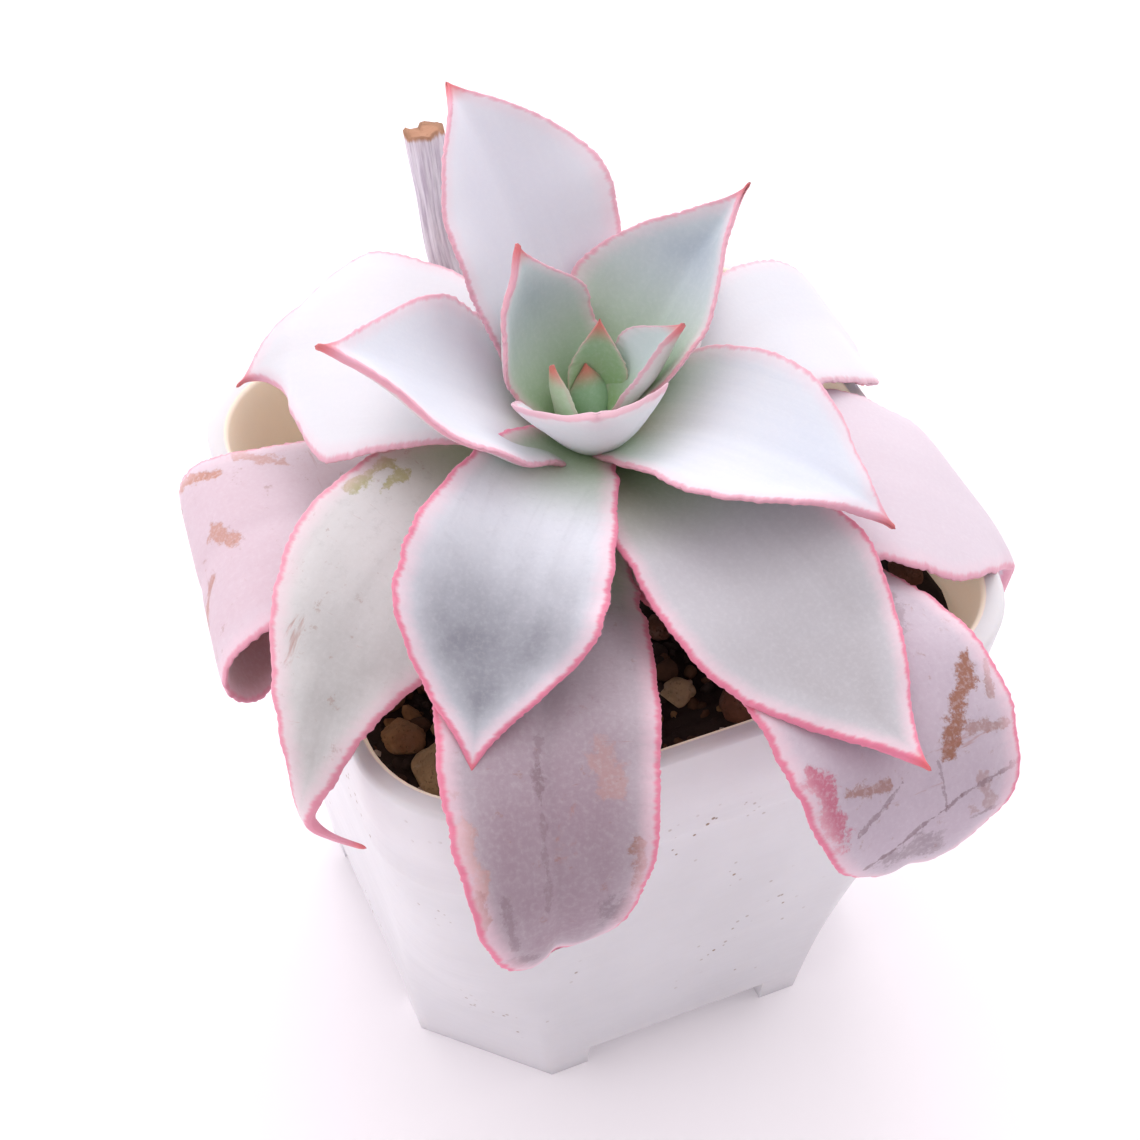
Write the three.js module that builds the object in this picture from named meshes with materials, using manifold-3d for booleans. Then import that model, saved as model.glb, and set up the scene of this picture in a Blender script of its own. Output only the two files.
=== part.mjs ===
// A powdery rosette succulent growing in a square plastic nursery pot.
// Millimetres, +Z up. The pot's walls follow X and Y, and its feet stand on Z = 0.
// The pot, the soil, the stones on it, the stem, the cut stalk and every leaf are meshes of
// their own, with a small air gap between neighbours.
import * as THREE from 'three';
import { mergeVertices } from 'three/addons/utils/BufferGeometryUtils.js';
import Module from 'manifold-3d';

const wasm = await Module();
wasm.setup();

// ---- pot ---------------------------------------------------------------------------------
const POT_HALF = 50;
const POT_HEIGHT = 90;
const RIM_WIDTH = 3;
const RIM_CORNER = 17.5;
const BAND_HEIGHT = 21;
const BAND_DRAFT = 1.6;
const BAND_STEP = 1;
const BASE_HALF = 39.3;
const BASE_CHAMFER = 16.8;
const WALL = 2;
const FLOOR = 2.4;
const FOOT_HEIGHT = 5.2;
const FOOT_GAP_HALF = 16;
const DRAIN_RADIUS = 4;
const DRAIN_SPREAD = 26;
const CORNER_STEPS = 6;

// ---- soil and stones ----------------------------------------------------------------------
const SOIL_DEPTH = 14;
const SOIL_SLOPE = 4;
const SOIL_BUMP = 1.1;
const SOIL_RINGS = 5;
const STONE_SINK = 0.35;
const STONE_POT_HALF = 50;
const PROBE_RADIUS = 0.3;

// ---- plant ----------------------------------------------------------------------------------
const CLEARANCE = 0.3;
const STEM_RADIUS = 6.2;
const STEM_TOP_RADIUS = 2.4;
const STEM_TOP = 15.5;
const STEM_ROOT = 40;
const STALK_RADIUS = 2.7;
const LEAF_SCALE = 1;
const LEAF_THICKNESS = 3.2;
const LEAF_EDGE = 0.9;
const LEAF_STEPS = 12;
const LEAF_SIDES = 10;
const GROW_SPARE = 1.15;
const FINE_WELD = 0.0001;
const WELD = 0.01;
const SLIVER = 0.03;
const EPSILON = 1e-9;

const degrees = THREE.MathUtils.degToRad;
const lerp = THREE.MathUtils.lerp;
const UP = new THREE.Vector3(0, 0, 1);

// Each leaf is grown along a curved midrib. Angles are degrees, lengths millimetres.
// heading: the way it leaves the stem; sway: how far that turns by the tip
// root: height of the root above the rim; inset: distance of the root from the axis
// length: along the midrib. A leaf that hangs over the rim gives `over`, its length past
// the pot's half width, so that it follows the pot's size.
// rise, middle, droop: slope of the midrib at root, half way and tip
// hook: where the end starts to curl, and how far it then bends down and turns by the tip
// widest: where the blade is widest; neck: width at the root as a share of the width
// point: how drawn-out the tip is; roll and cup: twist and hollow at root and tip
const leaves = {
  heart_leaf_1: {
    heading: -87.8, sway: 0, root: 16.5, inset: 0.6, length: 9.4, width: 7, widest: 0.4,
    neck: 0.6, point: 1.2, rise: 105, middle: 121, droop: 123, roll: [0, 0], cup: [0.5, 0.4],
    thickness: 2,
  },
  heart_leaf_2: {
    heading: 179, sway: 0, root: 16, inset: 4.6, length: 14, width: 7, widest: 0.4, neck: 0.6,
    point: 1.2, rise: 78, middle: 79.4, droop: 83.7, roll: [0, 0], cup: [0.5, 0.4], thickness: 2,
  },
  heart_leaf_3: {
    heading: 64.1, sway: 0, root: 15.5, inset: 3, length: 15.8, width: 9.5, widest: 0.45,
    neck: 0.55, point: 1.3, rise: 76, middle: 79.7, droop: 83.3, roll: [0, 0], cup: [0.6, 0.5],
    thickness: 2,
  },
  inner_leaf_1: {
    heading: -115.3, sway: 2.2, root: 16, inset: 4.8, length: 21.1, width: 23.5, widest: 0.69,
    neck: 0.5, point: 1.1, rise: 45, middle: 51.3, droop: 86.4, roll: [4, 8.9], cup: [0.6, 0.5],
    thickness: 2.6,
  },
  inner_leaf_2: {
    heading: -13.8, sway: -3, root: 18, inset: 2.5, length: 18.7, width: 11.5, widest: 0.5,
    neck: 0.4, point: 1.5, rise: 47, middle: 62, droop: 57.6, roll: [-1, -7], cup: [0.7, 0.8],
    thickness: 2.2,
  },
  inner_leaf_3: {
    heading: 122, sway: 1, root: 14, inset: 3, length: 32, width: 20.5, widest: 0.54, neck: 0.4,
    point: 1.6, rise: 41, middle: 71, droop: 92, roll: [-11, -2], cup: [0.52, 0.32],
    thickness: 2.6,
  },
  middle_leaf_1: {
    heading: 31, sway: -15, root: 15, inset: 2.5, length: 40.5, width: 27, widest: 0.44,
    neck: 0.36, point: 1.8, rise: 34, middle: 45, droop: 39, roll: [-7, -2], cup: [0.66, 0.48],
  },
  middle_leaf_2: {
    heading: 171, sway: -1, root: 12.5, inset: 3, length: 45.5, width: 32, widest: 0.51,
    neck: 0.38, point: 1.7, rise: 27, middle: 40, droop: 26, roll: [-4, -3], cup: [0.4, 0.24],
  },
  middle_leaf_3: {
    heading: -45, sway: -12, root: 13, inset: 2, length: 47.5, width: 32.5, widest: 0.44,
    neck: 0.38, point: 1.65, rise: 38, middle: 4, droop: -23, roll: [2, -4], cup: [0.44, 0.08],
  },
  middle_leaf_4: {
    heading: 93, sway: 16, root: 10.5, inset: 3, length: 56, width: 30.5, widest: 0.64,
    neck: 0.38, point: 1.35, rise: 44, middle: 52, droop: 39, roll: [4, 8], cup: [0.38, 0.36],
  },
  middle_leaf_5: {
    heading: -138, sway: 21, root: 14, inset: 4.5, length: 63.2, width: 29, widest: 0.61,
    neck: 0.32, point: 1.72, rise: 32, middle: -6, droop: -26, roll: [-10, -7.3],
    cup: [0.42, 0.14],
  },
  middle_leaf_6: {
    heading: -77, sway: 3, root: 11, inset: 3, over: 20, width: 34.5, widest: 0.52,
    neck: 0.38, point: 1.45, rise: 23, middle: -10, droop: -1, roll: [-4, 2], cup: [0.44, -0.08],
  },
  outer_leaf_1: {
    heading: 140.2, sway: 13.5, root: 11, inset: 3, length: 55.7, width: 41, widest: 0.65,
    neck: 0.34, point: 2.16, rise: 42, middle: 7, droop: -39.8, roll: [13.1, -18.6],
    cup: [0.14, -0.1], hook: [0.82, 24.1, 49.9],
  },
  outer_leaf_2: {
    heading: 20, sway: -2, root: 5.5, inset: 3, over: 23.3, width: 27, widest: 0.63, neck: 0.38,
    point: 1.4, rise: 18, middle: -12, droop: -111.8, roll: [-3, 27.3], cup: [0.14, 0.08],
    hook: [0.75, 40.4, 0],
  },
  outer_leaf_3: {
    heading: -168.9, sway: 56.6, root: 5, inset: 2, over: 41.2, width: 31.8, widest: 0.41,
    neck: 0.4, point: 2.45, rise: 24, middle: -8.3, droop: -83.2, roll: [-24.6, 5],
    cup: [0.08, 0], hook: [0.75, -84.5, -101.5],
  },
  outer_leaf_4: {
    heading: -27.3, sway: 10.6, root: 6, inset: 3, over: 33, width: 42.2, widest: 0.55,
    neck: 0.38, point: 2.94, rise: 10, middle: -17, droop: -104.4, roll: [-5.2, -9.6],
    cup: [0.02, -0.1], hook: [0.64, -7, 0],
  },
  outer_leaf_5: {
    heading: 62, sway: 4, root: 6, inset: 3, length: 53, width: 34, widest: 0.6,
    neck: 0.38, point: 1.3, rise: 26, middle: 16, droop: -20, roll: [0, 0], cup: [0.2, 0.1],
  },
  outer_leaf_6: {
    heading: -129, sway: 30, root: 0, inset: 3, over: 38.5, width: 30.5, widest: 0.57,
    neck: 0.38, point: 0.45, rise: 5, middle: 4, droop: -115, roll: [-2, -15], cup: [0.04, 0.12],
  },
  outer_leaf_7: {
    heading: -63, sway: -29, root: -4, inset: 3.5, over: 38, width: 37.5, widest: 0.66,
    neck: 0.36, point: 0.6, rise: 7, middle: 4, droop: -122, roll: [-12, 0], cup: [-0.02, 0.04],
  },
  outer_leaf_8: {
    heading: 172, sway: 8, root: -1, inset: 4.5, over: 25, width: 41, widest: 0.78,
    neck: 0.38, point: 0.45, rise: 4, middle: 8, droop: -88, roll: [8, 6], cup: [0.02, 0],
    hook: [0.66, -105, 0],
  },
  outer_leaf_9: {
    heading: 100, sway: -4, root: -2, inset: 4, over: 14, width: 36, widest: 0.6,
    neck: 0.38, point: 1.3, rise: 12, middle: 2, droop: -70, roll: [0, 0], cup: [0.1, 0],
  },
};

// Stones lying on the soil: place, size and turn, in a pot whose half width is STONE_POT_HALF.
// They spread out and grow with the pot.
const stoneShare = POT_HALF / STONE_POT_HALF;
const stones = [
  { x: -38.5, y: -12, size: 3.4, turn: 20 },
  { x: -36.5, y: -28, size: 4.4, turn: 75 },
  { x: -39, y: -20, size: 3.2, turn: 130 },
  { x: -31.5, y: -21, size: 2.8, turn: 10 },
  { x: -29, y: -31, size: 3.3, turn: 55 },
  { x: -31, y: -13, size: 2.6, turn: 100 },
  { x: 9, y: -36.5, size: 4.2, turn: 15 },
  { x: 1, y: -30, size: 2.6, turn: 60 },
  { x: 11, y: -22, size: 3, turn: 140 },
  { x: 3.5, y: -17, size: 2.3, turn: 80 },
  { x: 18, y: -31, size: 2.8, turn: 35 },
  { x: 41, y: -24, size: 3, turn: 95 },
  { x: 39, y: -32, size: 2.4, turn: 160 },
  { x: -36, y: 38, size: 3, turn: 45 },
  { x: -28, y: 41, size: 2.4, turn: 120 },
  { x: 30, y: 36, size: 3.2, turn: 70 },
].map(({ x, y, size, turn }) => ({
  x: x * stoneShare,
  y: y * stoneShare,
  size: size * stoneShare,
  turn,
}));

// ---- solids -----------------------------------------------------------------------------------

function solidFrom(geometry, weld = FINE_WELD) {
  const bare = geometry.clone();
  bare.deleteAttribute('normal');
  bare.deleteAttribute('uv');
  const welded = mergeVertices(bare, weld);
  return new wasm.Manifold(new wasm.Mesh({
    numProp: 3,
    vertProperties: new Float32Array(welded.attributes.position.array),
    triVerts: new Uint32Array(welded.index.array),
  }));
}

function geometryFrom(solid) {
  const mesh = solid.getMesh();
  const geometry = new THREE.BufferGeometry();
  const points = new Float32Array(mesh.numVert * 3);
  for (let i = 0; i < mesh.numVert; i += 1) {
    for (let axis = 0; axis < 3; axis += 1) {
      points[3 * i + axis] = mesh.vertProperties[mesh.numProp * i + axis];
    }
  }
  geometry.setAttribute('position', new THREE.BufferAttribute(points, 3));
  geometry.setIndex([...mesh.triVerts]);
  geometry.computeVertexNormals();
  return geometry;
}

// Closes a stack of rings, all with the same number of points, with a fan at each end.
function skin(rings) {
  const around = rings[0].length;
  const points = rings.flat();
  const faces = [];
  for (let r = 0; r + 1 < rings.length; r += 1) {
    for (let k = 0; k < around; k += 1) {
      const next = (k + 1) % around;
      const a = r * around + k;
      const b = r * around + next;
      faces.push(a, b, b + around, a, b + around, a + around);
    }
  }
  const middle = (ring) => ring.reduce((sum, p) => sum.add(p), new THREE.Vector3())
    .divideScalar(around);
  const first = points.length;
  points.push(middle(rings[0]), middle(rings[rings.length - 1]));
  const top = (rings.length - 1) * around;
  for (let k = 0; k < around; k += 1) {
    const next = (k + 1) % around;
    faces.push(first, next, k);
    faces.push(first + 1, top + k, top + next);
  }
  const geometry = new THREE.BufferGeometry().setFromPoints(points);
  geometry.setIndex(faces);
  return geometry;
}

// A closed square outline with corners between a round (flat = 0) and a straight cut (flat = 1).
function squareRing(half, corner, flat, z) {
  const ring = [];
  for (let side = 0; side < 4; side += 1) {
    const quarter = side * Math.PI / 2;
    const start = new THREE.Vector2(half, half - corner);
    const end = new THREE.Vector2(half - corner, half);
    for (let k = 0; k <= CORNER_STEPS; k += 1) {
      const share = k / CORNER_STEPS;
      const turn = share * Math.PI / 2;
      const round = new THREE.Vector2(
        half - corner + corner * Math.cos(turn),
        half - corner + corner * Math.sin(turn),
      );
      const point = round.lerp(start.clone().lerp(end, share), flat)
        .rotateAround(new THREE.Vector2(), quarter);
      ring.push(new THREE.Vector3(point.x, point.y, z));
    }
  }
  return ring;
}

const bandBottom = POT_HEIGHT - BAND_HEIGHT;
const bodyTopHalf = POT_HALF - BAND_DRAFT - BAND_STEP;
const floorTop = FOOT_HEIGHT + FLOOR;
const innerTopHalf = POT_HALF - RIM_WIDTH;
const innerFloorHalf = lerp(BASE_HALF, bodyTopHalf, floorTop / bandBottom) - WALL;

// How straight the corner is at a height: cut flat at the foot, round under the band.
const flatAt = (z) => 1 - THREE.MathUtils.smoothstep(z, 0, bandBottom * 0.72);

function bodyRing(z, inset) {
  const share = z / bandBottom;
  const corner = lerp(BASE_CHAMFER, RIM_CORNER, share);
  return squareRing(lerp(BASE_HALF, bodyTopHalf, share) - inset, corner - inset * 0.6, flatAt(z), z);
}

// Half width and corner of the space inside the pot at a height.
function insideAt(z) {
  const share = (z - floorTop) / (POT_HEIGHT - floorTop);
  return {
    half: lerp(innerFloorHalf, innerTopHalf, share),
    corner: lerp(BASE_CHAMFER - WALL * 0.6, RIM_CORNER - RIM_WIDTH * 0.4, share),
    flat: flatAt(z),
  };
}

function insideRing(z, gap) {
  const { half, corner, flat } = insideAt(z);
  return squareRing(half - gap, corner - gap * 0.6, flat, z);
}

const potOutside = solidFrom(skin([
  ...[0, 0.25, 0.5, 0.75, 1].map((share) => bodyRing(share * bandBottom, 0)),
  squareRing(POT_HALF - BAND_DRAFT, RIM_CORNER, 0, bandBottom + 0.6),
  squareRing(POT_HALF, RIM_CORNER, 0, POT_HEIGHT - 1),
  squareRing(POT_HALF - 0.6, RIM_CORNER, 0, POT_HEIGHT),
]));

const insideHeights = [0, 0.25, 0.5, 0.75, 0.97].map((share) => lerp(floorTop, POT_HEIGHT, share));
const potInside = solidFrom(skin([
  ...insideHeights.map((z) => insideRing(z, 0)),
  squareRing(innerTopHalf + 0.6, RIM_CORNER - RIM_WIDTH * 0.4, 0, POT_HEIGHT + 0.1),
]));

function buildPot() {
  const channel = new THREE.BoxGeometry(POT_HALF * 2, FOOT_GAP_HALF * 2, FOOT_HEIGHT * 2);
  let pot = potOutside.subtract(potInside)
    .subtract(solidFrom(channel))
    .subtract(solidFrom(channel.clone().rotateZ(Math.PI / 2)));
  const hole = new THREE.CylinderGeometry(DRAIN_RADIUS, DRAIN_RADIUS, floorTop * 3, 16)
    .rotateX(Math.PI / 2);
  const places = [[0, 0], [1, 1], [1, -1], [-1, 1], [-1, -1]];
  for (const [sx, sy] of places) {
    const spread = DRAIN_SPREAD / 2;
    pot = pot.subtract(solidFrom(hole.clone().translate(sx * spread, sy * spread, 0)));
  }
  return pot;
}

// ---- soil, stones and stem ----------------------------------------------------------------------

const soilLevel = POT_HEIGHT - SOIL_DEPTH;

function soilHeight(x, y) {
  const bumps = Math.sin(x * 0.31 + 1) * Math.cos(y * 0.27) + 0.6 * Math.sin(x * 0.13 + y * 0.4);
  return soilLevel + SOIL_SLOPE * (x / POT_HALF - 0.35 * y / POT_HALF) + SOIL_BUMP * bumps;
}

function buildSoil() {
  const bottom = floorTop + CLEARANCE;
  const topHalf = soilLevel + SOIL_SLOPE;
  const rings = [0, 0.35, 0.7, 0.93].map((share) => insideRing(lerp(bottom, topHalf, share), CLEARANCE));
  const rim = insideRing(soilLevel, CLEARANCE);
  for (let r = SOIL_RINGS; r >= 1; r -= 1) {
    const share = r / SOIL_RINGS;
    rings.push(rim.map((p) => {
      const x = p.x * share * (r === SOIL_RINGS ? 0.995 : 1);
      const y = p.y * share * (r === SOIL_RINGS ? 0.995 : 1);
      return new THREE.Vector3(x, y, soilHeight(x, y));
    }));
  }
  return solidFrom(skin(rings));
}

// The height of the soil's own faceted surface at a place.
function seatHeight(x, y) {
  const column = wasm.Manifold.cylinder(POT_HEIGHT, PROBE_RADIUS).translate(x, y, 0);
  return bareSoil.intersect(column).boundingBox().max[2];
}

function stoneSolid(stone, grow) {
  const ball = new THREE.IcosahedronGeometry(1, 1);
  const points = ball.attributes.position;
  const turn = degrees(stone.turn);
  for (let i = 0; i < points.count; i += 1) {
    const p = new THREE.Vector3().fromBufferAttribute(points, i);
    const knob = 1 + 0.12 * Math.sin(3 * p.x + stone.turn) + 0.1 * Math.cos(4 * p.y - stone.turn);
    p.multiplyScalar(knob).multiply(new THREE.Vector3(1.12, 0.88, 0.72));
    p.multiplyScalar(stone.size + grow).applyAxisAngle(UP, turn);
    points.setXYZ(i, p.x, p.y, p.z);
  }
  const lift = stone.size * (0.72 - STONE_SINK);
  ball.translate(stone.x, stone.y, seatHeight(stone.x, stone.y) + lift);
  return solidFrom(ball);
}

function stemSolid(grow) {
  const top = POT_HEIGHT + STEM_TOP;
  const start = soilLevel - STEM_ROOT;
  const profile = [
    [0, start - grow],
    [STEM_RADIUS * 0.55 + grow, start - grow],
    [STEM_RADIUS + grow, lerp(start, top, 0.45)],
    [STEM_RADIUS + grow, lerp(start, top, 0.72)],
    [STEM_RADIUS * 0.8 + grow, lerp(start, top, 0.88)],
    [STEM_TOP_RADIUS + grow, top + grow],
    [0, top + grow],
  ].map(([r, z]) => new THREE.Vector2(r, z));
  return solidFrom(new THREE.LatheGeometry(profile, 14).rotateX(Math.PI / 2));
}

// The old flower stalk leaves the stem low down, bends up and ends in a ragged cut.
function stalkSolid(grow) {
  const path = new THREE.CatmullRomCurve3([
    new THREE.Vector3(-1, STEM_RADIUS + 1, POT_HEIGHT - 1),
    new THREE.Vector3(-4, 24, POT_HEIGHT + 6),
    new THREE.Vector3(-8, 38, POT_HEIGHT + 20),
    new THREE.Vector3(-9, 45, POT_HEIGHT + 41),
  ]);
  const steps = 12;
  const sides = 10;
  const rings = [];
  for (let i = 0; i <= steps; i += 1) {
    const share = i / steps;
    const end = i === 0 ? -grow : (i === steps ? grow : 0);
    const along = path.getTangent(share);
    const centre = path.getPoint(share).addScaledVector(along, end);
    const across = new THREE.Vector3().crossVectors(along, new THREE.Vector3(1, 0, 0)).normalize();
    const beside = new THREE.Vector3().crossVectors(along, across);
    const radius = STALK_RADIUS * lerp(1, 1.12, share) + grow;
    rings.push(Array.from({ length: sides }, (unused, k) => {
      const turn = k * 2 * Math.PI / sides;
      return centre.clone()
        .addScaledVector(across, radius * Math.cos(turn))
        .addScaledVector(beside, radius * Math.sin(turn));
    }));
  }
  return solidFrom(skin(rings));
}

// ---- leaves ------------------------------------------------------------------------------------------

function bladeWidth(leaf, share) {
  if (share < leaf.widest) {
    return lerp(leaf.neck, 1, Math.sin(Math.PI / 2 * share / leaf.widest));
  }
  const out = (share - leaf.widest) / (1 - leaf.widest);
  return (1 - out) ** leaf.point * (1 + leaf.point * out);
}

// Points and directions along the midrib, one per step.
function midrib(leaf, steps) {
  const length = (leaf.over === undefined ? leaf.length : POT_HALF + leaf.over) * LEAF_SCALE;
  const heading = degrees(leaf.heading);
  const at = new THREE.Vector3(Math.cos(heading), Math.sin(heading), 0)
    .multiplyScalar(leaf.inset).setZ(POT_HEIGHT + leaf.root);
  const frames = [];
  const fine = 6;
  const [hookStart, hookBend, hookTurn] = leaf.hook ?? [1, 0, 0];
  const direction = (share) => {
    const curl = Math.max(share - hookStart, 0) / (1 - hookStart + EPSILON);
    const slope = degrees(leaf.rise * (1 - share) * (1 - 2 * share)
      + leaf.middle * 4 * share * (1 - share) + leaf.droop * share * (2 * share - 1)
      + hookBend * curl);
    const turn = heading + degrees(leaf.sway * share + hookTurn * curl);
    const flat = Math.cos(slope);
    return {
      along: new THREE.Vector3(flat * Math.cos(turn), flat * Math.sin(turn), Math.sin(slope)),
      across: new THREE.Vector3(-Math.sin(turn), Math.cos(turn), 0),
    };
  };
  for (let i = 0; i <= steps * fine; i += 1) {
    const share = i / (steps * fine);
    if (i % fine === 0) {
      const { along, across } = direction(share);
      const normal = new THREE.Vector3().crossVectors(along, across);
      const roll = degrees(lerp(leaf.roll[0], leaf.roll[1], share));
      frames.push({
        share,
        length,
        along,
        centre: at.clone(),
        across: across.clone().multiplyScalar(Math.cos(roll)).addScaledVector(normal, Math.sin(roll)),
        normal: normal.multiplyScalar(Math.cos(roll)).addScaledVector(across, -Math.sin(roll)),
      });
    }
    at.addScaledVector(direction(share + 0.5 / (steps * fine)).along, length / (steps * fine));
  }
  return frames;
}

function leafSolid(leaf, grow) {
  const frames = midrib(leaf, LEAF_STEPS);
  const thick = leaf.thickness ?? LEAF_THICKNESS;
  const rings = frames.map((frame, i) => {
    const { share, centre, across, normal, along } = frame;
    const width = Math.max(leaf.width * LEAF_SCALE * bladeWidth(leaf, share), LEAF_EDGE);
    const depth = Math.max(thick * (1 - 0.6 * share ** 1.5), LEAF_EDGE);
    const cup = lerp(leaf.cup[0], leaf.cup[1], share);
    const end = i === 0 ? -grow : (i === LEAF_STEPS ? grow : 0);
    const reach = width / 2 / Math.sqrt(1 + 0.5 * cup * cup);
    const hollow = width / 2 * cup;
    return Array.from({ length: LEAF_SIDES }, (unused, k) => {
      const turn = k * 2 * Math.PI / LEAF_SIDES;
      const side = Math.cos(turn);
      const outward = new THREE.Vector2(reach, 2 * hollow * side).normalize();
      const upward = new THREE.Vector2(-outward.y, outward.x);
      const point = new THREE.Vector2(reach * side, hollow * side * side)
        .addScaledVector(outward, grow * GROW_SPARE * side)
        .addScaledVector(upward, (depth / 2 + grow * GROW_SPARE) * Math.sin(turn));
      return centre.clone()
        .addScaledVector(along, end)
        .addScaledVector(across, point.x)
        .addScaledVector(normal, point.y);
    });
  });
  return solidFrom(skin(rings));
}

// ---- put together -----------------------------------------------------------------------------------

const colours = {
  pot: { color: 0xebe6ea, roughness: 0.45, metalness: 0 },
  soil: { color: 0x2a221e, roughness: 1, metalness: 0 },
  stone: { color: 0x8a6a4c, roughness: 0.9, metalness: 0 },
  stem: { color: 0x9a8f7a, roughness: 0.8, metalness: 0 },
  stalk: { color: 0xcfc4cf, roughness: 0.8, metalness: 0 },
  young: { color: 0xb7cfbd, roughness: 0.75, metalness: 0 },
  leaf: { color: 0xd3d6e0, roughness: 0.75, metalness: 0 },
  old: { color: 0xc4b6c2, roughness: 0.8, metalness: 0 },
};

const group = new THREE.Group();
group.name = 'potted_succulent';

function largestPiece(solid) {
  return solid.decompose().sort((a, b) => b.volume() - a.volume())[0];
}

// Trims off the crumbs that a cut can leave, and adds the piece under its name.
function add(name, solid, colour) {
  const trimmed = largestPiece(solid.simplify(SLIVER));
  const welded = largestPiece(solidFrom(geometryFrom(trimmed), WELD));
  const mesh = new THREE.Mesh(
    geometryFrom(welded),
    new THREE.MeshStandardMaterial(colours[colour]),
  );
  mesh.name = name;
  group.add(mesh);
}

const pot = buildPot();
const potSpace = solidFrom(skin([
  bodyRing(0, -CLEARANCE),
  bodyRing(bandBottom * 0.5, -CLEARANCE),
  bodyRing(bandBottom - CLEARANCE, -CLEARANCE),
  squareRing(POT_HALF - BAND_DRAFT + CLEARANCE, RIM_CORNER, 0, bandBottom - CLEARANCE + 0.1),
  squareRing(POT_HALF + CLEARANCE, RIM_CORNER, 0, POT_HEIGHT - 1),
  squareRing(POT_HALF + CLEARANCE, RIM_CORNER, 0, POT_HEIGHT + CLEARANCE),
])).subtract(solidFrom(skin([
  ...insideHeights.map((z) => insideRing(z, CLEARANCE)),
  insideRing(POT_HEIGHT + 2, CLEARANCE),
])));

const bareSoil = buildSoil();
let soil = bareSoil.subtract(stemSolid(CLEARANCE));
stones.forEach((stone, i) => {
  soil = soil.subtract(stoneSolid(stone, CLEARANCE));
  add(`stone_${String(i + 1).padStart(2, '0')}`, stoneSolid(stone, 0), 'stone');
});

add('pot', pot, 'pot');
add('soil', soil, 'soil');
add('stem', stemSolid(0), 'stem');

// Every leaf keeps clear of the pot, the stem, the soil, the stones and the leaves grown above it.
const ground = wasm.Manifold.union([
  soil.translate(0, 0, CLEARANCE),
  ...stones.map((stone) => stoneSolid(stone, CLEARANCE)),
]);
const around = [stemSolid(CLEARANCE), potSpace, ground];
const names = Object.keys(leaves);
for (const name of names) {
  let blade = leafSolid(leaves[name], 0);
  for (const other of around) {
    blade = blade.subtract(other);
  }
  const kind = name.startsWith('outer') ? 'old' : (name.startsWith('middle') ? 'leaf' : 'young');
  add(name, blade, kind);
  around.push(leafSolid(leaves[name], CLEARANCE));
}

let stalk = stalkSolid(0);
for (const other of around) {
  stalk = stalk.subtract(other);
}
add('cut_stalk', stalk, 'stalk');

// The origin is the middle of the outline's footprint, on the ground.
const outline = new THREE.Box3().setFromObject(group);
const middle = outline.getCenter(new THREE.Vector3());
group.position.set(-middle.x, -middle.y, -outline.min.z);

export default group;
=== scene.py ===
"""A powdery rosette succulent in a square plastic pot, laid out as an add-on and run as a script."""

import math

import bmesh
import bpy
import numpy as np
from bpy.props import FloatProperty, FloatVectorProperty, IntProperty, PointerProperty
from bpy.types import Operator, Panel, PropertyGroup
from mathutils import Matrix, Vector


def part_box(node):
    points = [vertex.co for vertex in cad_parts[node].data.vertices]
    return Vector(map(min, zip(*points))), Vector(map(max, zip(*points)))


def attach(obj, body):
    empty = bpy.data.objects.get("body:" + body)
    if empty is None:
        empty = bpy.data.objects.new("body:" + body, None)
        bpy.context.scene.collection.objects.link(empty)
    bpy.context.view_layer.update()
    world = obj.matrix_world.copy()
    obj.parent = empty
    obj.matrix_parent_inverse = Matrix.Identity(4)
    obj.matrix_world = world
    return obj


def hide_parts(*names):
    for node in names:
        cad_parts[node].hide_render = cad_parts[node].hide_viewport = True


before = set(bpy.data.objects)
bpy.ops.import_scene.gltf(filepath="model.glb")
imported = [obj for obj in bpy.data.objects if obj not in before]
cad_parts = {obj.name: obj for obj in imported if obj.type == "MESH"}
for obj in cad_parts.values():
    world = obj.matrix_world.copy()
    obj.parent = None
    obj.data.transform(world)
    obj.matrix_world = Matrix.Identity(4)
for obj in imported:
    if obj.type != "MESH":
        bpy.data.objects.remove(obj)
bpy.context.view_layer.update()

bl_info = {
    "name": "Potted Succulent",
    "version": (1, 0, 0),
    "blender": (4, 5, 0),
    "location": "View3D > Sidebar > Succulent",
    "description": "Builds a rosette succulent, its gritty soil and its square pot",
    "category": "Add Mesh",
}

MM = 0.001


def tone(red, green, blue):
    """A screen colour from 0 to 255 as the linear colour that the shaders use."""
    linear = []
    for value in (red, green, blue):
        share = value / 255
        linear.append(share / 12.92 if share <= 0.04045 else ((share + 0.055) / 1.055) ** 2.4)
    return tuple(linear)


# ---- where the pot stands ------------------------------------------------------------------------

pot_low, pot_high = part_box("pot")
POT_CENTRE = Vector(((pot_low.x + pot_high.x) / 2, (pot_low.y + pot_high.y) / 2, 0))
POT_HEIGHT = pot_high.z / MM
POT_HALF = (pot_high.x - pot_low.x) / 2 / MM


# ---- settings a user would change ----------------------------------------------------------------

def length_setting(name, description, size, least=0.0):
    """A setting for a length, given here in millimetres."""
    return FloatProperty(
        name=name, description=description, default=size * MM, min=least * MM, unit="LENGTH")


def angle_setting(name, description, degrees):
    """A setting for an angle, given here in degrees."""
    return FloatProperty(
        name=name, description=description, default=math.radians(degrees),
        subtype="ANGLE", unit="ROTATION")


def colour_setting(name, description, red, green, blue):
    """A setting for a colour, given here as a screen colour."""
    return FloatVectorProperty(
        name=name, description=description, default=tone(red, green, blue),
        subtype="COLOR", size=3, min=0, max=1)


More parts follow.
